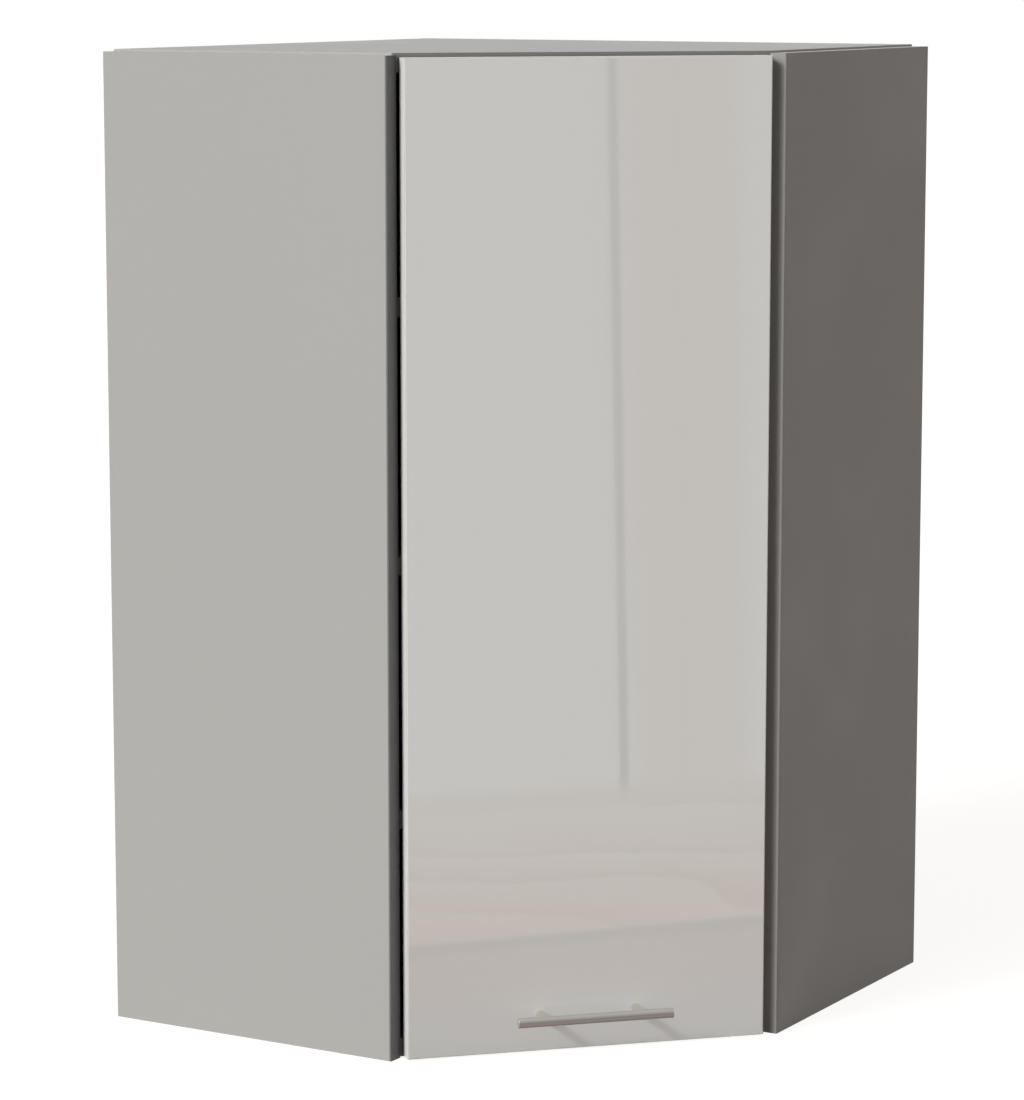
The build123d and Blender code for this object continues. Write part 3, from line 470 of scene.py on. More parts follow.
def build_lines():
    """Fine lines along X, as drawn or brushed stock and extruded band have."""
    inputs = {"Scale": 2600.0, "Stretch": 0.012}
    group, given, result = new_group("Drawn lines", inputs, "Tone", "Height")
    stretch = put(group, "ShaderNodeCombineXYZ", {0: given["Stretch"], 1: 1.0, 2: 1.0}).outputs[0]
    drawn = vector(group, "MULTIPLY", given["Place"], stretch)
    lines = noise(group, drawn, given["Scale"], 2.0, 0.6)
    wide = noise(group, drawn, number(group, "MULTIPLY", given["Scale"], 0.2), 2.0)
    give(group, result, Tone=add_shares(group, (lines, 0.6), (wide, 0.4)), Height=lines)


def build_ripple():
    """The slow ripple of a gloss face, with a trace of finer pitting."""
    group, given, result = new_group("Gloss ripple", {"Scale": 80.0}, "Height")
    slow = noise(group, given["Place"], given["Scale"], 1.0)
    fine = noise(group, given["Place"], number(group, "MULTIPLY", given["Scale"], 7.0), 1.0)
    give(group, result, Height=number(group, "MULTIPLY_ADD", fine, 0.08, slow))


def build_fibres():
    """Growth rings and fine fibres of softwood that run along Z."""
    inputs = {"Light": (0.62, 0.43, 0.235, 1), "Dark": (0.42, 0.24, 0.1, 1)}
    group, given, result = new_group("Softwood grain", inputs, "Color", "Height")
    long = vector(group, "MULTIPLY", given["Place"], (1.0, 1.0, 0.06))
    sway = noise(group, long, 26.0, 2.0)
    values = {"Vector": long, "Scale": 75.0, "Distortion": 3.0, "Detail": 2.0, "Detail Scale": 1.5}
    rings = put(group, "ShaderNodeTexWave", values, wave_type="BANDS", bands_direction="DIAGONAL")
    late = rerange(group, rings.outputs["Fac"], (0.35, 0.95), (0.0, 0.75), smooth=True)
    fibre = noise(group, long, 1500.0, 2.0, 0.6)
    dark = number(group, "MULTIPLY_ADD", number(group, "SUBTRACT", sway, 0.4), 0.7, late)
    uneven = number(group, "SUBTRACT", fibre, 0.5)
    dark = number(group, "MULTIPLY_ADD", uneven, 0.5, dark, clamp=True)
    colour = blend(group, dark, given["Light"], given["Dark"])
    give(group, result, Color=colour, Height=number(group, "MULTIPLY_ADD", fibre, 0.6, late))


def ready_groups():
    """Builds the shared effects once."""
    if "Inside box" in bpy.data.node_groups:
        return
    for build in (build_inside_box, build_pearl, build_core, build_marks):
        build()
    for build in (build_dust, build_lines, build_ripple, build_fibres):
        build()


def bare_material(name):
    """A material without a shader, and its tree."""
    material = bpy.data.materials.new(name)
    material.use_nodes = True
    material.node_tree.nodes.clear()
    return material, material.node_tree


def new_material(name):
    """A material with a Principled shader, its tree, the shader's inputs and the piece's place."""
    ready_groups()
    material, tree = bare_material(name)
    shader = put(tree, "ShaderNodeBsdfPrincipled")
    put(tree, "ShaderNodeOutputMaterial", {"Surface": shader.outputs[0]})
    return material, tree, shader.inputs, own_place(tree)


def surface(tree, shader, colour, roughness, height, strength, depth):
    """Joins colour, roughness and a raised height to the shader."""
    values = {"Height": height, "Strength": strength, "Distance": depth}
    tree.links.new(colour, shader["Base Color"])
    tree.links.new(roughness, shader["Roughness"])
    tree.links.new(put(tree, "ShaderNodeBump", values).outputs[0], shader["Normal"])


def drawn_lines(tree, place, turn, scale, stretch):
    """Fine lines laid along a piece by a turn."""
    values = {"Place": turned(tree, place, turn), "Scale": scale, "Stretch": stretch}
    return use_group(tree, "Drawn lines", values)


def marks_of_use(tree, place, scale):
    """Where hands and packing have left their marks."""
    return use_group(tree, "Handling marks", {"Place": place, "Scale": scale})["Amount"]


def pearl_grain(tree, place, size):
    """The grain of melamine at its real size."""
    return use_group(tree, "Pearl grain", {"Place": place, "Grain Scale": 1 / size})


def inside_box(tree, place, low, high):
    """1 where a board is cut or bored, 0 on its skin."""
    return use_group(tree, "Inside box", {"Place": place, "Low": low, "High": high})["Inside"]


# Finishes


def board_finish(name, low, high, finishes, dusty=False):
    """Melamine board with bare chipboard where it is cut or bored."""
    material, tree, shader, place = new_material(name)
    shader["Specular IOR Level"].default_value = MELAMINE_SHINE
    grain = pearl_grain(tree, place, finishes.pearl)
    marks = marks_of_use(tree, place, 7.0)
    cut = inside_box(tree, place, low, high)
    light, dark = rgba(finishes.core_light), rgba(finishes.core_dark)
    flakes = {"Scale": 1 / finishes.flake, "Light": light, "Dark": dark}
    core = use_group(tree, "Chipboard core", {"Place": place, **flakes})
    face = tint(tree, grain["Tone"], finishes.board, 0.98, 1.02)
    if dusty:
        facing = put(tree, "ShaderNodeNewGeometry").outputs["Normal"]
        dust = use_group(tree, "Settled dust", {"Place": place, "Facing": facing})["Amount"]
        face = blend(tree, number(tree, "MULTIPLY", dust, DUST_COVER), face, DUST_COLOUR)
    colour = blend(tree, cut, face, core["Color"])
    smooth = rerange(tree, marks, WHOLE, (0.52, 0.44))
    rough = number(tree, "MULTIPLY_ADD", cut, 0.42, smooth)
    flat = number(tree, "MULTIPLY", grain["Height"], number(tree, "SUBTRACT", 1.0, cut))
    deep = number(tree, "MULTIPLY", number(tree, "MULTIPLY", core["Height"], cut), 3.0)
    height = number(tree, "ADD", flat, deep)
    surface(tree, shader, colour, rough, height, strength=0.35, depth=0.00012)
    return material


def band_finish(name, colour, along, finishes, dim=None):
    """Plastic edge band with faint lines along it, and painted shade darker along dim's axis from
    start to end.
    """
    material, tree, shader, place = new_material(name)
    shader["Specular IOR Level"].default_value = MELAMINE_SHINE
    lines = drawn_lines(tree, place, along, scale=1300.0, stretch=0.01)
    grain = pearl_grain(tree, place, finishes.pearl / 1.3)
    tone = add_shares(tree, (lines["Tone"], 0.5), (grain["Tone"], 0.5))
    face = tint(tree, tone, colour, 0.95, 1.05)
    # Painted shade: the band darkens along the axis towards its deep end in the gap.
    if dim:
        axis, start, end = dim
        depth = rerange(tree, vector(tree, "DOT_PRODUCT", place, axis), (start, end))
        face = blend(tree, depth, face, rgba(colour, GAP_PAINTED_SHADE))
    rough = rerange(tree, lines["Tone"], SPREAD, (0.40, 0.33))
    surface(tree, shader, face, rough, lines["Height"], strength=0.2, depth=0.00008)
    return material


def back_finish(name, axis, inner, finishes):
    """Hardboard: painted like the boards inside, bare and fibrous behind and in its holes."""
    material, tree, shader, place = new_material(name)
    inward = vector(tree, "DOT_PRODUCT", place, axis)
    painted = number(tree, "GREATER_THAN", inward, inner - PAINT)
    grain = pearl_grain(tree, place, finishes.pearl)
    fibres = noise(tree, place, 900.0, 4.0, 0.7, 1.2)
    stains = noise(tree, place, 14.0, 3.0)
    tone = add_shares(tree, (fibres, 0.7), (stains, 0.3))
    tones = ((0.30, 0.60), (0.52, 1.0), (0.75, 1.45))
    stops = [(stop, rgba(finishes.hardboard, factor)[:3]) for stop, factor in tones]
    face = tint(tree, grain["Tone"], finishes.board, 0.97, 1.06)
    colour = blend(tree, painted, ramp(tree, tone, stops), face)
    bare = rerange(tree, fibres, SPREAD, (0.72, 0.58))
    rough = number(tree, "MULTIPLY_ADD", painted, -0.2, bare)
    surface(tree, shader, colour, rough, fibres, strength=0.3, depth=0.0001)
    return material


def timber_finish(name, finishes):
    """Planed softwood."""
    material, tree, shader, place = new_material(name)
    tones = {"Light": rgba(finishes.timber), "Dark": rgba(finishes.timber, 0.62)}
    grain = use_group(tree, "Softwood grain", {"Place": place, **tones})
    rough = rerange(tree, marks_of_use(tree, place, 20.0), WHOLE, (0.68, 0.58))
    surface(tree, shader, grain["Color"], rough, grain["Height"], strength=0.4, depth=0.0002)
    return material


def plate_finish(name, colour, roughness, grain=3200.0):
    """Bright plate over pressed or turned steel, with a fine satin and a few dull spots."""
    material, tree, shader, place = new_material(name)
    shader["Metallic"].default_value = 1.0
    satin = noise(tree, place, grain, 3.0, 0.6)
    marks = marks_of_use(tree, place, 60.0)
    tone = number(tree, "MULTIPLY_ADD", marks, -0.35, satin)
    face = tint(tree, tone, colour, 0.86, 1.12)
    uneven = number(tree, "MULTIPLY", number(tree, "SUBTRACT", satin, 0.5), 0.18)
    dull = number(tree, "MULTIPLY_ADD", marks, 0.10, uneven)
    rough = number(tree, "ADD", dull, roughness)
    surface(tree, shader, face, rough, satin, strength=0.12, depth=0.00005)
    return material


def casting_finish(name, colour):
    """Cast zinc: matt, with a grained skin."""
    material, tree, shader, place = new_material(name)
    shader["Metallic"].default_value = 1.0
    skin = noise(tree, place, 1600.0, 4.0, 0.7)
    stains = noise(tree, place, 160.0, 3.0)
    tone = add_shares(tree, (skin, 0.5), (stains, 0.5))
    face = tint(tree, tone, colour, 0.72, 1.22)
    rough = rerange(tree, skin, SPREAD, (0.42, 0.58))
    surface(tree, shader, face, rough, skin, strength=0.35, depth=0.00008)
    return material


def plastic_finish(name, colour):
    """Moulded plastic with a fine spark-grained skin."""
    material, tree, shader, place = new_material(name)
    skin = noise(tree, place, 2200.0, 2.0, 0.6)
    flow = noise(tree, place, 45.0, 3.0, 0.5, 1.5)
    tone = add_shares(tree, (skin, 0.4), (flow, 0.6))
    face = tint(tree, tone, colour, 0.95, 1.05)
    rough = rerange(tree, flow, SPREAD, (0.40, 0.50))
    surface(tree, shader, face, rough, skin, strength=0.25, depth=0.00006)
    return material


def pad_finish(name):
    """Clear soft plastic with a slightly frosted skin."""
    material, tree, shader, place = new_material(name)
    shader["IOR"].default_value = 1.49
    shader["Transmission Weight"].default_value = 0.85
    frost = noise(tree, place, 1800.0, 3.0)
    face = blend(tree, frost, (0.86, 0.88, 0.87, 1), (0.95, 0.96, 0.95, 1))
    rough = rerange(tree, frost, SPREAD, (0.10, 0.28))
    surface(tree, shader, face, rough, frost, strength=0.15, depth=0.00005)
    return material


def door_finish(name, finishes):
    """Gloss on the front, satin on the edges and behind, brown fibreboard where it is bored."""
    material, tree, shader, place = new_material(name)
    shader["IOR"].default_value = 1.5
    shader["Coat Roughness"].default_value = 0.02
    shader["Coat IOR"].default_value = 1.8
    square = turned(tree, place, (0, 0, DOOR_TURN))
    low = (DOOR_START + SKIN, -DOOR_FACE + SKIN, DOOR_LOW.z + SKIN)
    high = (DOOR_END - SKIN, -DOOR_REAR - SKIN, DOOR_HIGH.z - SKIN)
    bored = inside_box(tree, square, low, high)
    out = vector(tree, "DOT_PRODUCT", place, OUT_OF_DOOR)
    gloss = rerange(tree, out, (DOOR_FACE - GLOSS_STARTS, DOOR_FACE - GLOSS_WHOLE))
    tree.links.new(gloss, shader["Coat Weight"])
    ripple = use_group(tree, "Gloss ripple", {"Place": place, "Scale": 1 / finishes.peel})
    marks = marks_of_use(tree, place, 5.0)
    grain = pearl_grain(tree, place, finishes.pearl)
    face = tint(tree, grain["Tone"], finishes.door, 0.985, 1.015)
    fuzz = noise(tree, place, 1400.0, 4.0)
    fibre = blend(tree, fuzz, (0.30, 0.20, 0.11, 1), (0.46, 0.33, 0.20, 1))
    colour = blend(tree, bored, face, fibre)
    polish = rerange(tree, gloss, WHOLE, (0.42, 0.04))
    rough = number(tree, "MULTIPLY_ADD", marks, 0.03, polish)
    surface(tree, shader, colour, rough, ripple["Height"], strength=0.05, depth=0.0004)
    return material


def brushed_finish(name, colour, turn):
    """Satin steel brushed along X once the piece is turned."""
    material, tree, shader, place = new_material(name)
    shader["Metallic"].default_value = 1.0
    lines = drawn_lines(tree, place, turn, scale=2600.0, stretch=0.012)
    marks = marks_of_use(tree, place, 45.0)
    face = tint(tree, lines["Tone"], colour, 0.94, 1.06)
    satin = rerange(tree, lines["Tone"], SPREAD, (0.13, 0.19))
    rough = number(tree, "MULTIPLY_ADD", marks, 0.05, satin)
    surface(tree, shader, face, rough, lines["Height"], strength=0.2, depth=0.00002)
    return material


def dress(material, *nodes):
    """Gives CAD pieces a finish."""
    for node in nodes:
        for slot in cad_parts[node].material_slots:
            slot.material = material


# Meshes


def flat_ends(mesh):
    """The faces that close a rod's ends."""
    return [face for face in mesh.faces if len(face.verts) > 4]


def round_rod(mesh, length, radius, edge_round):
    """A rod along Z about the origin with rounded end edges, as turned stock has."""
    bmesh.ops.create_cone(
        mesh, cap_ends=True, segments=64, radius1=radius, radius2=radius, depth=length
    )
    rims = [edge for cap in flat_ends(mesh) for edge in cap.edges]
    bmesh.ops.bevel(
        mesh,
        geom=rims,
        offset=edge_round,
        offset_type="OFFSET",
        segments=4,
        profile=0.5,
        affect="EDGES",
        material=-1,
    )
    # A ring inside each flat end keeps it shaded flat next to its rounded edge.
    bmesh.ops.inset_individual(mesh, faces=flat_ends(mesh), thickness=edge_round)


def add_object(mesh, name, material):
    """Puts a finished mesh into the scene, already in its place."""
    data = bpy.data.meshes.new(name)
    mesh.to_mesh(data)
    mesh.free()
    data.materials.append(material)
    thing = bpy.data.objects.new(name, data)
    bpy.context.scene.collection.objects.link(thing)
    return thing


def add_rods(mesh, name, material, replaced):
    """Makes a piece of the handle that rides on the door in place of its CAD node."""
    bmesh.ops.recalc_face_normals(mesh, faces=mesh.faces)
    for face in mesh.faces:
        face.smooth = True
    piece = add_object(mesh, name, material)
    piece.data.set_sharp_from_angle(angle=SMOOTH_UNDER)
    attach(piece, "door")
    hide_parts(replaced)


def make_bar(sizes, material):
    """The handle's bar."""
    mesh = bmesh.new()
    round_rod(mesh, sizes.length, sizes.bar_radius, sizes.end_round)
    lay = Matrix.Rotation(math.radians(90.0), 4, "Y")
    turn = Matrix.Rotation(-DOOR_TURN, 4, "Z")
    mesh.transform(Matrix.Translation(BAR_CENTRE) @ turn @ lay)
    add_rods(mesh, "handle_bar_rod", material, "handle_bar")


def make_posts(sizes, material):
    """The two posts, each with a rounded foot and its other end let into the bar."""
    mesh = bmesh.new()
    reach = BAR_CENTRE.dot(OUT_OF_DOOR) - sizes.bar_radius * POST_SHORT - DOOR_FACE
    middle = DOOR_FACE + reach / 2
    tilt = OUT_OF_DOOR.to_track_quat("Z", "Y").to_matrix().to_4x4()
    for side in (-0.5, 0.5):
        post = bmesh.new()
        round_rod(post, reach, sizes.post_radius, sizes.end_round)
        at = ALONG_DOOR * (side * sizes.pitch + BAR_CENTRE.dot(ALONG_DOOR)) + OUT_OF_DOOR * middle
        post.transform(Matrix.Translation(at + Vector((0, 0, BAR_CENTRE.z))) @ tilt)
        part = bpy.data.meshes.new("post")
        post.to_mesh(part)
        post.free()
        mesh.from_mesh(part)
        bpy.data.meshes.remove(part)
    add_rods(mesh, "handle_post_pair", material, "handle_posts")


# Stage

WHITE = (1.0, 1.0, 1.0, 1.0)
# The small lamp makes the shadows' edges, the wide one the soft light. Widths are on the sky.
KEY_WIDTH, KEY_COLOUR = math.radians(8.0), (0.985, 1.0, 1.0)
SOFT_WIDTH, SOFT_COLOUR = math.radians(34.0), (0.97, 1.0, 1.01)
LAMP_AWAY = 6.0
# How bright the paper floor looks by itself, where 1 would leave no shadow on it.
FLOOR_GLOW = 0.9

# The camera, fitted to the photograph: its turn and rise, the point that it looks at, its distance
# from that point and its lens for a picture of the sensor's height.
CAMERA_TURN, CAMERA_RISE = math.radians(30.39), math.radians(8.63)
AIM_RIGHT, AIM_HEIGHT, CAMERA_AWAY = -0.01464, 0.45759, 3.96715
LENS, SENSOR_HEIGHT, SIGHT = 127.99, 36.0, 200.0

# Panels of the room that shows in the door's gloss: their ends along the door, and their near and
# far edges as (out from the door's middle, height).
PANEL_FOOT = 0.002
SCREEN_ENDS, CLOTH_ENDS = (-0.4, 2.8), (-0.6, 1.4)
CEILING_ENDS, SHADE_ENDS = (-6.0, 8.0), (-0.6, 0.6)
SCREEN_TOP, CEILING_FAR = (6.6, 0.904), (-3.0, 5.4)
SHADE_NEAR, SHADE_FAR = (0.419, 0.004), (0.275, 0.0412)

# The reflected screen: the point that its lines fan out from, the part of the fan that it fills,
# and where its foot gives way to its upper part.
FAN_ALONG, FAN_OUT = -0.9637, -3.3228
FAN = (0.27537, 0.33128)
SCREEN_FOOT = (1.30, 1.38)

# What lies on the reflected floor, by its distance out: dim under the handle, plain, bare boards,
# then cloth, whose folds grow paler away from the door. The cloth's edge leans a little.
DIM_ENDS, PLAIN_ENDS, CLOTH_STARTS = (0.26, 0.29), (0.40, 0.48), (0.63, 0.66)
FOLDS_PALER, CLOTH_LEAN, FOLD_TURN = (0.68, 1.05), -0.094, 0.5
RIM_STARTS, RIM_ENDS = (0.61, 0.64), (0.65, 0.68)
# The ceiling dims between these distances out.
CEILING_DIMS = (0.5, 6.4)


def towards(turn, rise):
    """The direction from the cabinet to a lamp or the camera."""
    level = math.cos(rise)
    return Vector((math.sin(turn) * level, -math.cos(turn) * level, math.sin(rise)))


def hang_sun(name, turn, rise, power, width, colour):
    """A lamp far away whose width on the sky softens its shadows."""
    light = bpy.data.lights.new(name, "SUN")
    light.energy = power
    light.angle = width
    light.color = colour
    lamp = bpy.data.objects.new(name, light)
    lamp.rotation_euler = towards(turn, rise).to_track_quat("Z", "Y").to_euler()
    lamp.location = towards(turn, rise) * LAMP_AWAY
    bpy.context.scene.collection.objects.link(lamp)
    return lamp


def pass_by(lamp, *names):
    """Lets a lamp pass by pieces, so that it neither lights them nor is shaded by them."""
    group = bpy.data.collections.new("Passed by " + lamp.name)
    for name in names:
        if name in bpy.data.objects:
            group.objects.link(bpy.data.objects[name])
    for entry in group.collection_objects:
        entry.light_linking.link_state = "EXCLUDE"
    lamp.light_linking.blocker_collection = group
    lamp.light_linking.receiver_collection = group


def seen_directly(tree):
    """1 for camera, glossy and transmission rays, 0 for the rest."""
    path = put(tree, "ShaderNodeLightPath").outputs
    both = number(tree, "ADD", path["Is Camera Ray"], path["Is Glossy Ray"])
    return number(tree, "ADD", both, path["Is Transmission Ray"], clamp=True)


def make_surround(colour):
    """White where it is seen, a plain even fill where it lights."""
    world = bpy.data.worlds.new("Studio surround")
    world.use_nodes = True
    tree = world.node_tree
    tree.nodes.clear()
    fill = put(tree, "ShaderNodeBackground", {"Color": rgba(colour), "Strength": 1.0}).outputs[0]
    white = put(tree, "ShaderNodeBackground", {"Color": WHITE, "Strength": 1.0}).outputs[0]
    both = put(tree, "ShaderNodeMixShader", {0: seen_directly(tree), 1: fill, 2: white}).outputs[0]
    put(tree, "ShaderNodeOutputWorld", {"Surface": both})
    bpy.context.scene.world = world


def glow(tree, colour, strength=1.0):
    """Plain light of a colour."""
    return put(tree, "ShaderNodeEmission", {"Color": colour, "Strength": strength}).outputs[0]


def end_in_glow(tree, colour):
    """Ends a material with a glow whose colour changes over it."""
    put(tree, "ShaderNodeOutputMaterial", {"Surface": glow(tree, colour)})


def end_one_sided(tree, face):
    """Ends a material with a shader on its face and nothing to see behind it."""
    clear = put(tree, "ShaderNodeBsdfTransparent").outputs[0]
    behind = put(tree, "ShaderNodeNewGeometry").outputs["Backfacing"]
    both = put(tree, "ShaderNodeMixShader", {0: behind, 1: face, 2: clear}).outputs[0]
    put(tree, "ShaderNodeOutputMaterial", {"Surface": both})


def floor_material():
    """White paper that keeps a faint shadow, and lets a camera below it see the cabinet."""
    material, tree = bare_material("Paper floor")
    cloud = noise(tree, own_place(tree), 3.0, 3.0)
    paper = blend(tree, cloud, (0.230, 0.182, 0.158, 1), (0.250, 0.198, 0.172, 1))
    sheet = put(tree, "ShaderNodeBsdfDiffuse", {"Color": paper}).outputs[0]
    shine = glow(tree, WHITE, number(tree, "MULTIPLY", seen_directly(tree), FLOOR_GLOW))
    end_one_sided(tree, put(tree, "ShaderNodeAddShader", {0: sheet, 1: shine}).outputs[0])
    return material


def add_to_stage(mesh, name, material):
    """Adds an object for the stage, which isn't part of the cabinet, to the scene like any other.
    """
    thing = add_object(mesh, name, material)
    return thing


def lay_floor(radius):
    """A wide round floor under the cabinet."""
    mesh = bmesh.new()
    bmesh.ops.create_circle(mesh, cap_ends=True, segments=96, radius=radius)
    add_to_stage(mesh, "paper_floor", floor_material())


def distances(tree):
    """How far a point of a panel is along the door, and how far out from it."""
    return put(tree, "ShaderNodeSeparateXYZ", {0: own_place(tree)}).outputs[:2]


def screen_material():
    """Pale wall with a hanging cloth at its right, in stripes that fan out over a slanted panel."""
    material, tree = bare_material("Reflected screen")
    along, out = distances(tree)
    aside = number(tree, "SUBTRACT", along, FAN_ALONG)
    fan = number(tree, "DIVIDE", aside, number(tree, "SUBTRACT", out, FAN_OUT))
    wall, cloth, edge = (1.0, 1.0, 1.0), (0.90, 0.80, 0.745), (0.26, 0.26, 0.26)
    stripes = [
        (0.120, wall),
        (0.134, edge),
        (0.164, edge),
        (0.180, (1.0, 0.925, 0.925)),
        (0.210, (0.98, 0.895, 0.85)),
        (0.290, cloth),
        (0.442, cloth),
        (0.462, (0.80, 0.67, 0.60)),
        (0.482, cloth),
        (0.740, cloth),
        (0.830, wall),
    ]
    colour = ramp(tree, rerange(tree, fan, FAN), stripes)
    foot = rerange(tree, out, SCREEN_FOOT, FALLING, smooth=True)
    end_in_glow(tree, blend(tree, foot, colour, (0.80, 0.68, 0.58, 1)))
    return material


def cloth_material():
    """Loose cloth in soft heaps on a darker floor, plain near the door and dim under the handle."""
    material, tree = bare_material("Reflected cloth")
    place = own_place(tree)
    along, out = distances(tree)
    askew = turned(tree, place, (0, 0, FOLD_TURN))
    crumple = {"Distortion": 9.0, "Detail": 1.0, "Detail Scale": 1.6, "Detail Roughness": 0.4}
    kind = {"wave_type": "BANDS", "bands_direction": "Y", "wave_profile": "SAW"}
    wave = put(tree, "ShaderNodeTexWave", {"Vector": askew, "Scale": 1.5, **crumple}, **kind)
    folds = wave.outputs["Fac"]
    far_tones = [(0.0, (0.70, 0.46, 0.34)), (0.2, (0.80, 0.60, 0.48)), (1.0, (0.92, 0.80, 0.71))]
    near_tones = [(0.0, (0.66, 0.34, 0.27)), (0.2, (0.76, 0.42, 0.34)), (1.0, (0.88, 0.56, 0.46))]
    away = rerange(tree, out, FOLDS_PALER)
    heaps = blend(tree, away, ramp(tree, folds, near_tones), ramp(tree, folds, far_tones))
    patches = noise(tree, place, 3.0, 3.0)
    boards = blend(tree, patches, (0.42, 0.20, 0.185, 1), (0.53, 0.26, 0.235, 1))
    plain = rerange(tree, out, PLAIN_ENDS, FALLING, smooth=True)
    boards = blend(tree, plain, boards, (0.32, 0.265, 0.263, 1))
    dim = rerange(tree, out, DIM_ENDS, FALLING, smooth=True)
    boards = blend(tree, dim, boards, (0.20, 0.195, 0.19, 1))
    edge = number(tree, "MULTIPLY_ADD", along, CLOTH_LEAN, out)
    near = rerange(tree, edge, CLOTH_STARTS, FALLING, smooth=True)
    ground = blend(tree, near, heaps, boards)
    starts = rerange(tree, edge, RIM_STARTS, smooth=True)
    ends = rerange(tree, edge, RIM_ENDS, FALLING, smooth=True)
    rim = number(tree, "MULTIPLY", starts, ends)
    end_in_glow(tree, blend(tree, rim, ground, (0.24, 0.14, 0.12, 1)))
    return material


def ceiling_material():
    """The dim far end of a room under a paler ceiling."""
    material, tree = bare_material("Reflected ceiling")
    far = rerange(tree, distances(tree)[1], CEILING_DIMS)
    end_in_glow(tree, blend(tree, far, (0.56, 0.56, 0.56, 1), (0.29, 0.29, 0.29, 1)))
    return material


def shade_material():
    """A dim strip seen from below only: the handle's bar reflects it and the door doesn't."""
    material, tree = bare_material("Reflected shade")
    end_one_sided(tree, glow(tree, (0.25, 0.248, 0.246, 1)))
    return material


def place_panel(name, ends, near, far, material):
    """A flat panel seen only in gloss, from end to end along the door and from near to far edge."""
    mesh = bmesh.new()
    bmesh.ops.create_grid(mesh, x_segments=1, y_segments=1, size=0.5)
    near, far = Vector((0.0, *near)), Vector((0.0, *far))
    across = Vector((ends[1] - ends[0], 0.0, 0.0))
    middle = (near + far) / 2 + Vector((sum(ends) / 2, 0.0, 0.0))
    up = across.cross(far - near)
    spread = Matrix((across, far - near, up)).transposed().to_4x4()
    mesh.transform(Matrix.Translation(middle) @ spread)
    panel = add_to_stage(mesh, name, material)
    panel.matrix_world = Matrix((ALONG_DOOR, OUT_OF_DOOR, (0, 0, 1))).transposed().to_4x4()
    for rays in ("camera", "diffuse", "transmission", "volume_scatter", "shadow"):
        setattr(panel, "visible_" + rays, False)


def place_camera():
    """The camera at the photograph's viewing angle."""
    right = Vector((math.cos(CAMERA_TURN), math.sin(CAMERA_TURN), 0.0))
    aim = right * AIM_RIGHT + Vector((0, 0, AIM_HEIGHT))
    data = bpy.data.cameras.new("Camera")
    data.sensor_fit = "VERTICAL"
    data.sensor_height = SENSOR_HEIGHT
    data.lens = LENS
    data.clip_end = SIGHT
    camera = bpy.data.objects.new("Camera", data)
    camera.location = aim + towards(CAMERA_TURN, CAMERA_RISE) * CAMERA_AWAY
    camera.rotation_euler = (math.pi / 2 - CAMERA_RISE, 0.0, CAMERA_TURN)
    bpy.context.scene.collection.objects.link(camera)
    bpy.context.scene.camera = camera


# One operator for each group of pieces


class CABINET_OT_dress_boards(bpy.types.Operator):
    """Finish the carcase boards and the shelves in pale melamine"""

    bl_idname = "cabinet.dress_boards"
    bl_label = "Boards and Shelves"

    def execute(self, context):
        finishes = context.scene.cabinet_finishes
        for node, (bare_low, bare_high) in BARE_EDGES.items():
            low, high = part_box(node)
            low = [side - OPEN if bare else side + SKIN for side, bare in zip(low, bare_low)]
            high = [side + OPEN if bare else side - SKIN for side, bare in zip(high, bare_high)]
            name = node.replace("_", " ").capitalize() + " melamine"
            dress(board_finish(name, low, high, finishes, dusty=node == "top_board"), node)
        return {"FINISHED"}


class CABINET_OT_dress_bands(bpy.types.Operator):
    """Finish the edge bands, upright ones and those on the top and bottom boards; all but the
    shelves' bands carry painted shade
    """

    bl_idname = "cabinet.dress_bands"
    bl_label = "Edge Bands"

    def execute(self, context):
        finishes = context.scene.cabinet_finishes
        upright, level = (0.0, math.radians(90.0), 0.0), (0.0, 0.0, DOOR_TURN)
        # Painted shade: the left band takes the dark band colour and darkens further into the gap
        # beside the door.
        low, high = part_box("left_side_edge_band")
        painted_gap_shade = ((0, 1, 0), low.y, high.y)
        dark, pale = finishes.painted_shade_band, finishes.board
        left = band_finish("Left edge band", dark, upright, finishes, dim=painted_gap_shade)
        # Painted shade: the right band is darker than the board's pale colour.
        right = band_finish("Right edge band", rgba(pale, RIGHT_BAND_PAINTED_SHADE)[:3], upright, finishes)
        dress(left, "left_side_edge_band")
        dress(right, "right_side_edge_band")
        dress(band_finish("Shelf edge band", pale, level, finishes), "shelf_edge_bands")
        # Painted shade: the top and bottom bands are painted dark for the shade on their front
        # edges.
        across = band_finish("Painted shade edge band", dark, level, finishes)
        dress(across, "top_edge_band", "bottom_edge_band")
        return {"FINISHED"}


class CABINET_OT_dress_back(bpy.types.Operator):
    """Finish the hardboard back panels, the rear corner post and the dowels"""

    bl_idname = "cabinet.dress_back"
    bl_label = "Back, Post and Dowels"

    def execute(self, context):
        finishes = context.scene.cabinet_finishes
        left_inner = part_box("left_back_panel")[1].x
        right_inner = -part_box("right_back_panel")[0].y
        dress(back_finish("Left hardboard", (1, 0, 0), left_inner, finishes), "left_back_panel")
        dress(back_finish("Right hardboard", (0, -1, 0), right_inner, finishes), "right_back_panel")
        dress(timber_finish("Planed softwood", finishes), "rear_corner_post", "wood_dowels")
        return {"FINISHED"}


class CABINET_OT_dress_fittings(bpy.types.Operator):
    """Finish the cam locks and bolts, the screws and the shelf pins"""

    bl_idname = "cabinet.dress_fittings"
    bl_label = "Locks, Screws and Pins"

    def execute(self, context):
        finishes = context.scene.cabinet_finishes
        dress(casting_finish("Cast zinc", finishes.zinc), "cam_locks")
        dress(
            plate_finish("Plated fastener", finishes.plate, 0.30),
            "cam_bolts",
            "post_screws",
            "back_panel_screws",
            "lower_shelf_pins",
            "middle_shelf_pins",
            "upper_shelf_pins",
            "handle_screws",
        )
        return {"FINISHED"}


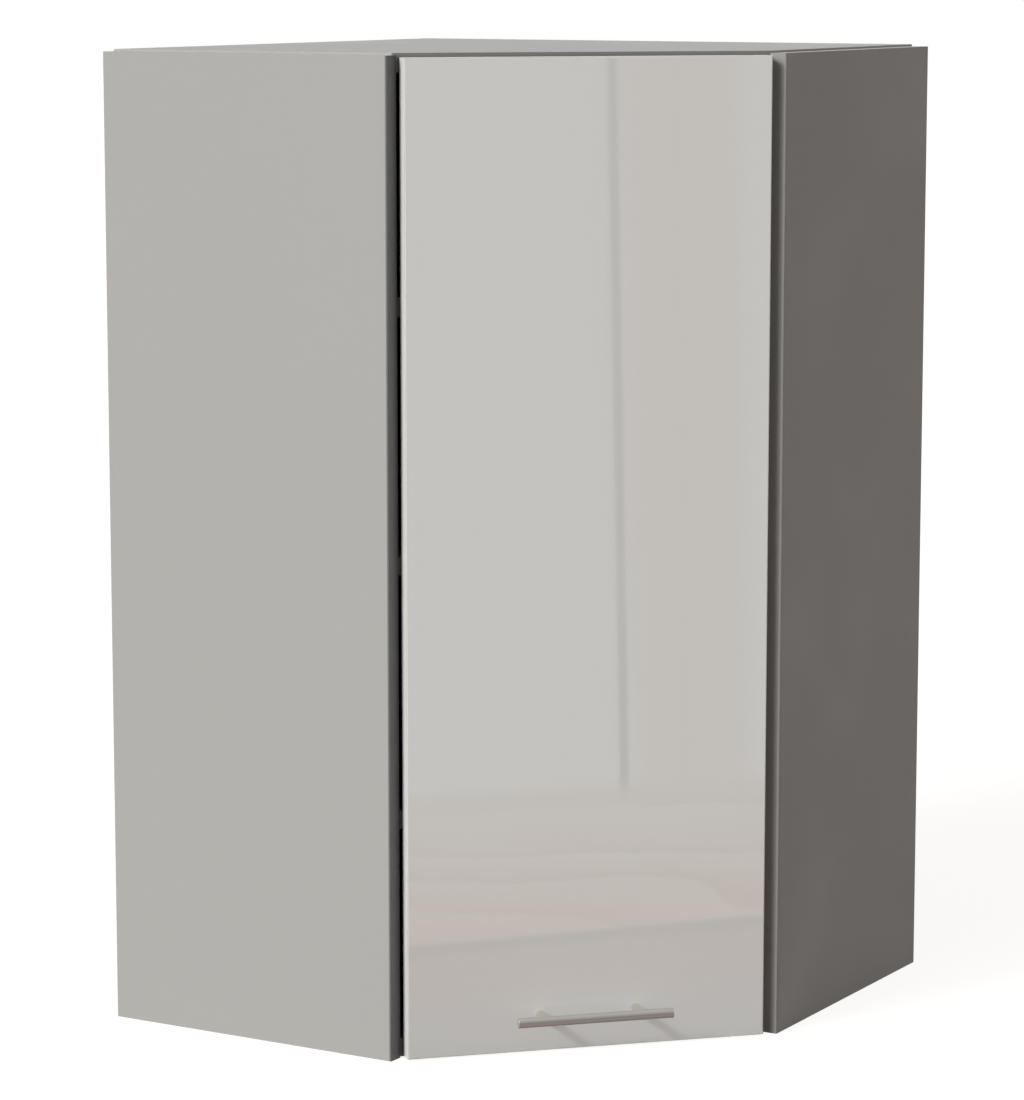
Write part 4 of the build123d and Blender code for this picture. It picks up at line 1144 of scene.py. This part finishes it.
class CABINET_OT_dress_hangers(bpy.types.Operator):
    """Finish the wall hangers: plastic housings and covers, plated carriages, hooks and screws"""

    bl_idname = "cabinet.dress_hangers"
    bl_label = "Wall Hangers"

    def execute(self, context):
        finishes = context.scene.cabinet_finishes
        dress(
            plastic_finish("Hanger plastic", finishes.plastic),
            "left_hanger_housing",
            "right_hanger_housing",
            "hanger_covers",
        )
        dress(
            plate_finish("Hanger steel", finishes.plate, 0.34, grain=1800.0),
            "left_hanger_carriage",
            "right_hanger_carriage",
            "left_hanger_hook",
            "right_hanger_hook",
            "left_hanger_depth_screw",
            "right_hanger_depth_screw",
            "hanger_height_screws",
            "hanger_fixing_screws",
        )
        return {"FINISHED"}


class CABINET_OT_dress_hinges(bpy.types.Operator):
    """Finish the hinges in satin nickel plate"""

    bl_idname = "cabinet.dress_hinges"
    bl_label = "Hinges"

    def execute(self, context):
        finishes = context.scene.cabinet_finishes
        dress(
            plate_finish("Hinge nickel", finishes.plate, 0.36),
            "hinge_cups",
            "hinge_arms",
            "hinge_plates",
            "hinge_pins",
        )
        dress(
            plate_finish("Hinge screw", finishes.plate, 0.27),
            "hinge_cup_screws",
            "hinge_plate_screws",
            "hinge_arm_screws",
        )
        return {"FINISHED"}


class CABINET_OT_dress_door(bpy.types.Operator):
    """Finish the gloss door and its two bumpers"""

    bl_idname = "cabinet.dress_door"
    bl_label = "Door"

    def execute(self, context):
        dress(door_finish("Door gloss", context.scene.cabinet_finishes), "door_leaf")
        dress(pad_finish("Clear pad"), "door_bumpers")
        return {"FINISHED"}


class CABINET_OT_make_handle(bpy.types.Operator):
    """Turn the handle's bar and posts from steel rod"""

    bl_idname = "cabinet.make_handle"
    bl_label = "Handle"

    def execute(self, context):
        finishes = context.scene.cabinet_finishes
        sizes = context.scene.cabinet_handle
        along = brushed_finish("Brushed bar", finishes.handle, (0.0, 0.0, DOOR_TURN))
        across = brushed_finish("Brushed post", finishes.handle, (0.0, 0.0, -DOOR_TURN))
        make_bar(sizes, along)
        make_posts(sizes, across)
        dress(along, "handle_bar")
        dress(across, "handle_posts")
        return {"FINISHED"}


class CABINET_OT_set_stage(bpy.types.Operator):
    """Lay the floor, hang the lamps, place the screens and the camera"""

    bl_idname = "cabinet.set_stage"
    bl_label = "Stage"

    def execute(self, context):
        stage = context.scene.cabinet_stage
        context.scene.view_settings.view_transform = "Standard"
        make_surround(stage.surround)
        key = (stage.key_turn, stage.key_rise, stage.key_power)
        soft = (stage.soft_turn, stage.soft_rise, stage.soft_power)
        hang_sun("key_lamp", *key, KEY_WIDTH, KEY_COLOUR)
        soft_lamp = hang_sun("soft_lamp", *soft, SOFT_WIDTH, SOFT_COLOUR)
        pass_by(soft_lamp, "handle_bar_rod", "handle_post_pair")
        lay_floor(stage.floor_radius)
        at_door = (DOOR_FACE + PANEL_FOOT, PANEL_FOOT)
        foot = (DOOR_FACE + stage.screen_gap, PANEL_FOOT)
        place_panel("reflected_screen", SCREEN_ENDS, foot, SCREEN_TOP, screen_material())
        place_panel("reflected_cloth", CLOTH_ENDS, at_door, foot, cloth_material())
        place_panel("reflected_ceiling", CEILING_ENDS, SCREEN_TOP, CEILING_FAR, ceiling_material())
        place_panel("reflected_shade", SHADE_ENDS, SHADE_NEAR, SHADE_FAR, shade_material())
        place_camera()
        return {"FINISHED"}


class CABINET_PT_build(bpy.types.Panel):
    """Finishes, handle and stage of the cabinet"""

    bl_label = "Corner Wall Cabinet"
    bl_idname = "CABINET_PT_build"
    bl_space_type = "VIEW_3D"
    bl_region_type = "UI"
    bl_category = "Cabinet"

    def draw(self, context):
        layout = self.layout
        for group in SETTINGS:
            settings = getattr(context.scene, group)
            box = layout.box()
            for name in settings.bl_rna.properties.keys():
                if name not in ("name", "rna_type"):
                    box.prop(settings, name)
        for operator in OPERATORS:
            layout.operator(operator.bl_idname)


OPERATORS = (
    CABINET_OT_dress_boards,
    CABINET_OT_dress_bands,
    CABINET_OT_dress_back,
    CABINET_OT_dress_fittings,
    CABINET_OT_dress_hangers,
    CABINET_OT_dress_hinges,
    CABINET_OT_dress_door,
    CABINET_OT_make_handle,
    CABINET_OT_set_stage,
)
SETTINGS = {
    "cabinet_finishes": CabinetFinishes,
    "cabinet_handle": CabinetHandle,
    "cabinet_stage": CabinetStage,
}
CLASSES = (*SETTINGS.values(), *OPERATORS, CABINET_PT_build)


def register():
    for cls in CLASSES:
        bpy.utils.register_class(cls)
    for name, group in SETTINGS.items():
        setattr(bpy.types.Scene, name, PointerProperty(type=group))


def unregister():
    for name in SETTINGS:
        delattr(bpy.types.Scene, name)
    for cls in reversed(CLASSES):
        bpy.utils.unregister_class(cls)


def main():
    register()
    bpy.ops.cabinet.dress_boards()
    bpy.ops.cabinet.dress_bands()
    bpy.ops.cabinet.dress_back()
    bpy.ops.cabinet.dress_fittings()
    bpy.ops.cabinet.dress_hangers()
    bpy.ops.cabinet.dress_hinges()
    bpy.ops.cabinet.dress_door()
    bpy.ops.cabinet.make_handle()
    bpy.ops.cabinet.set_stage()


if __name__ == "__main__":
    main()
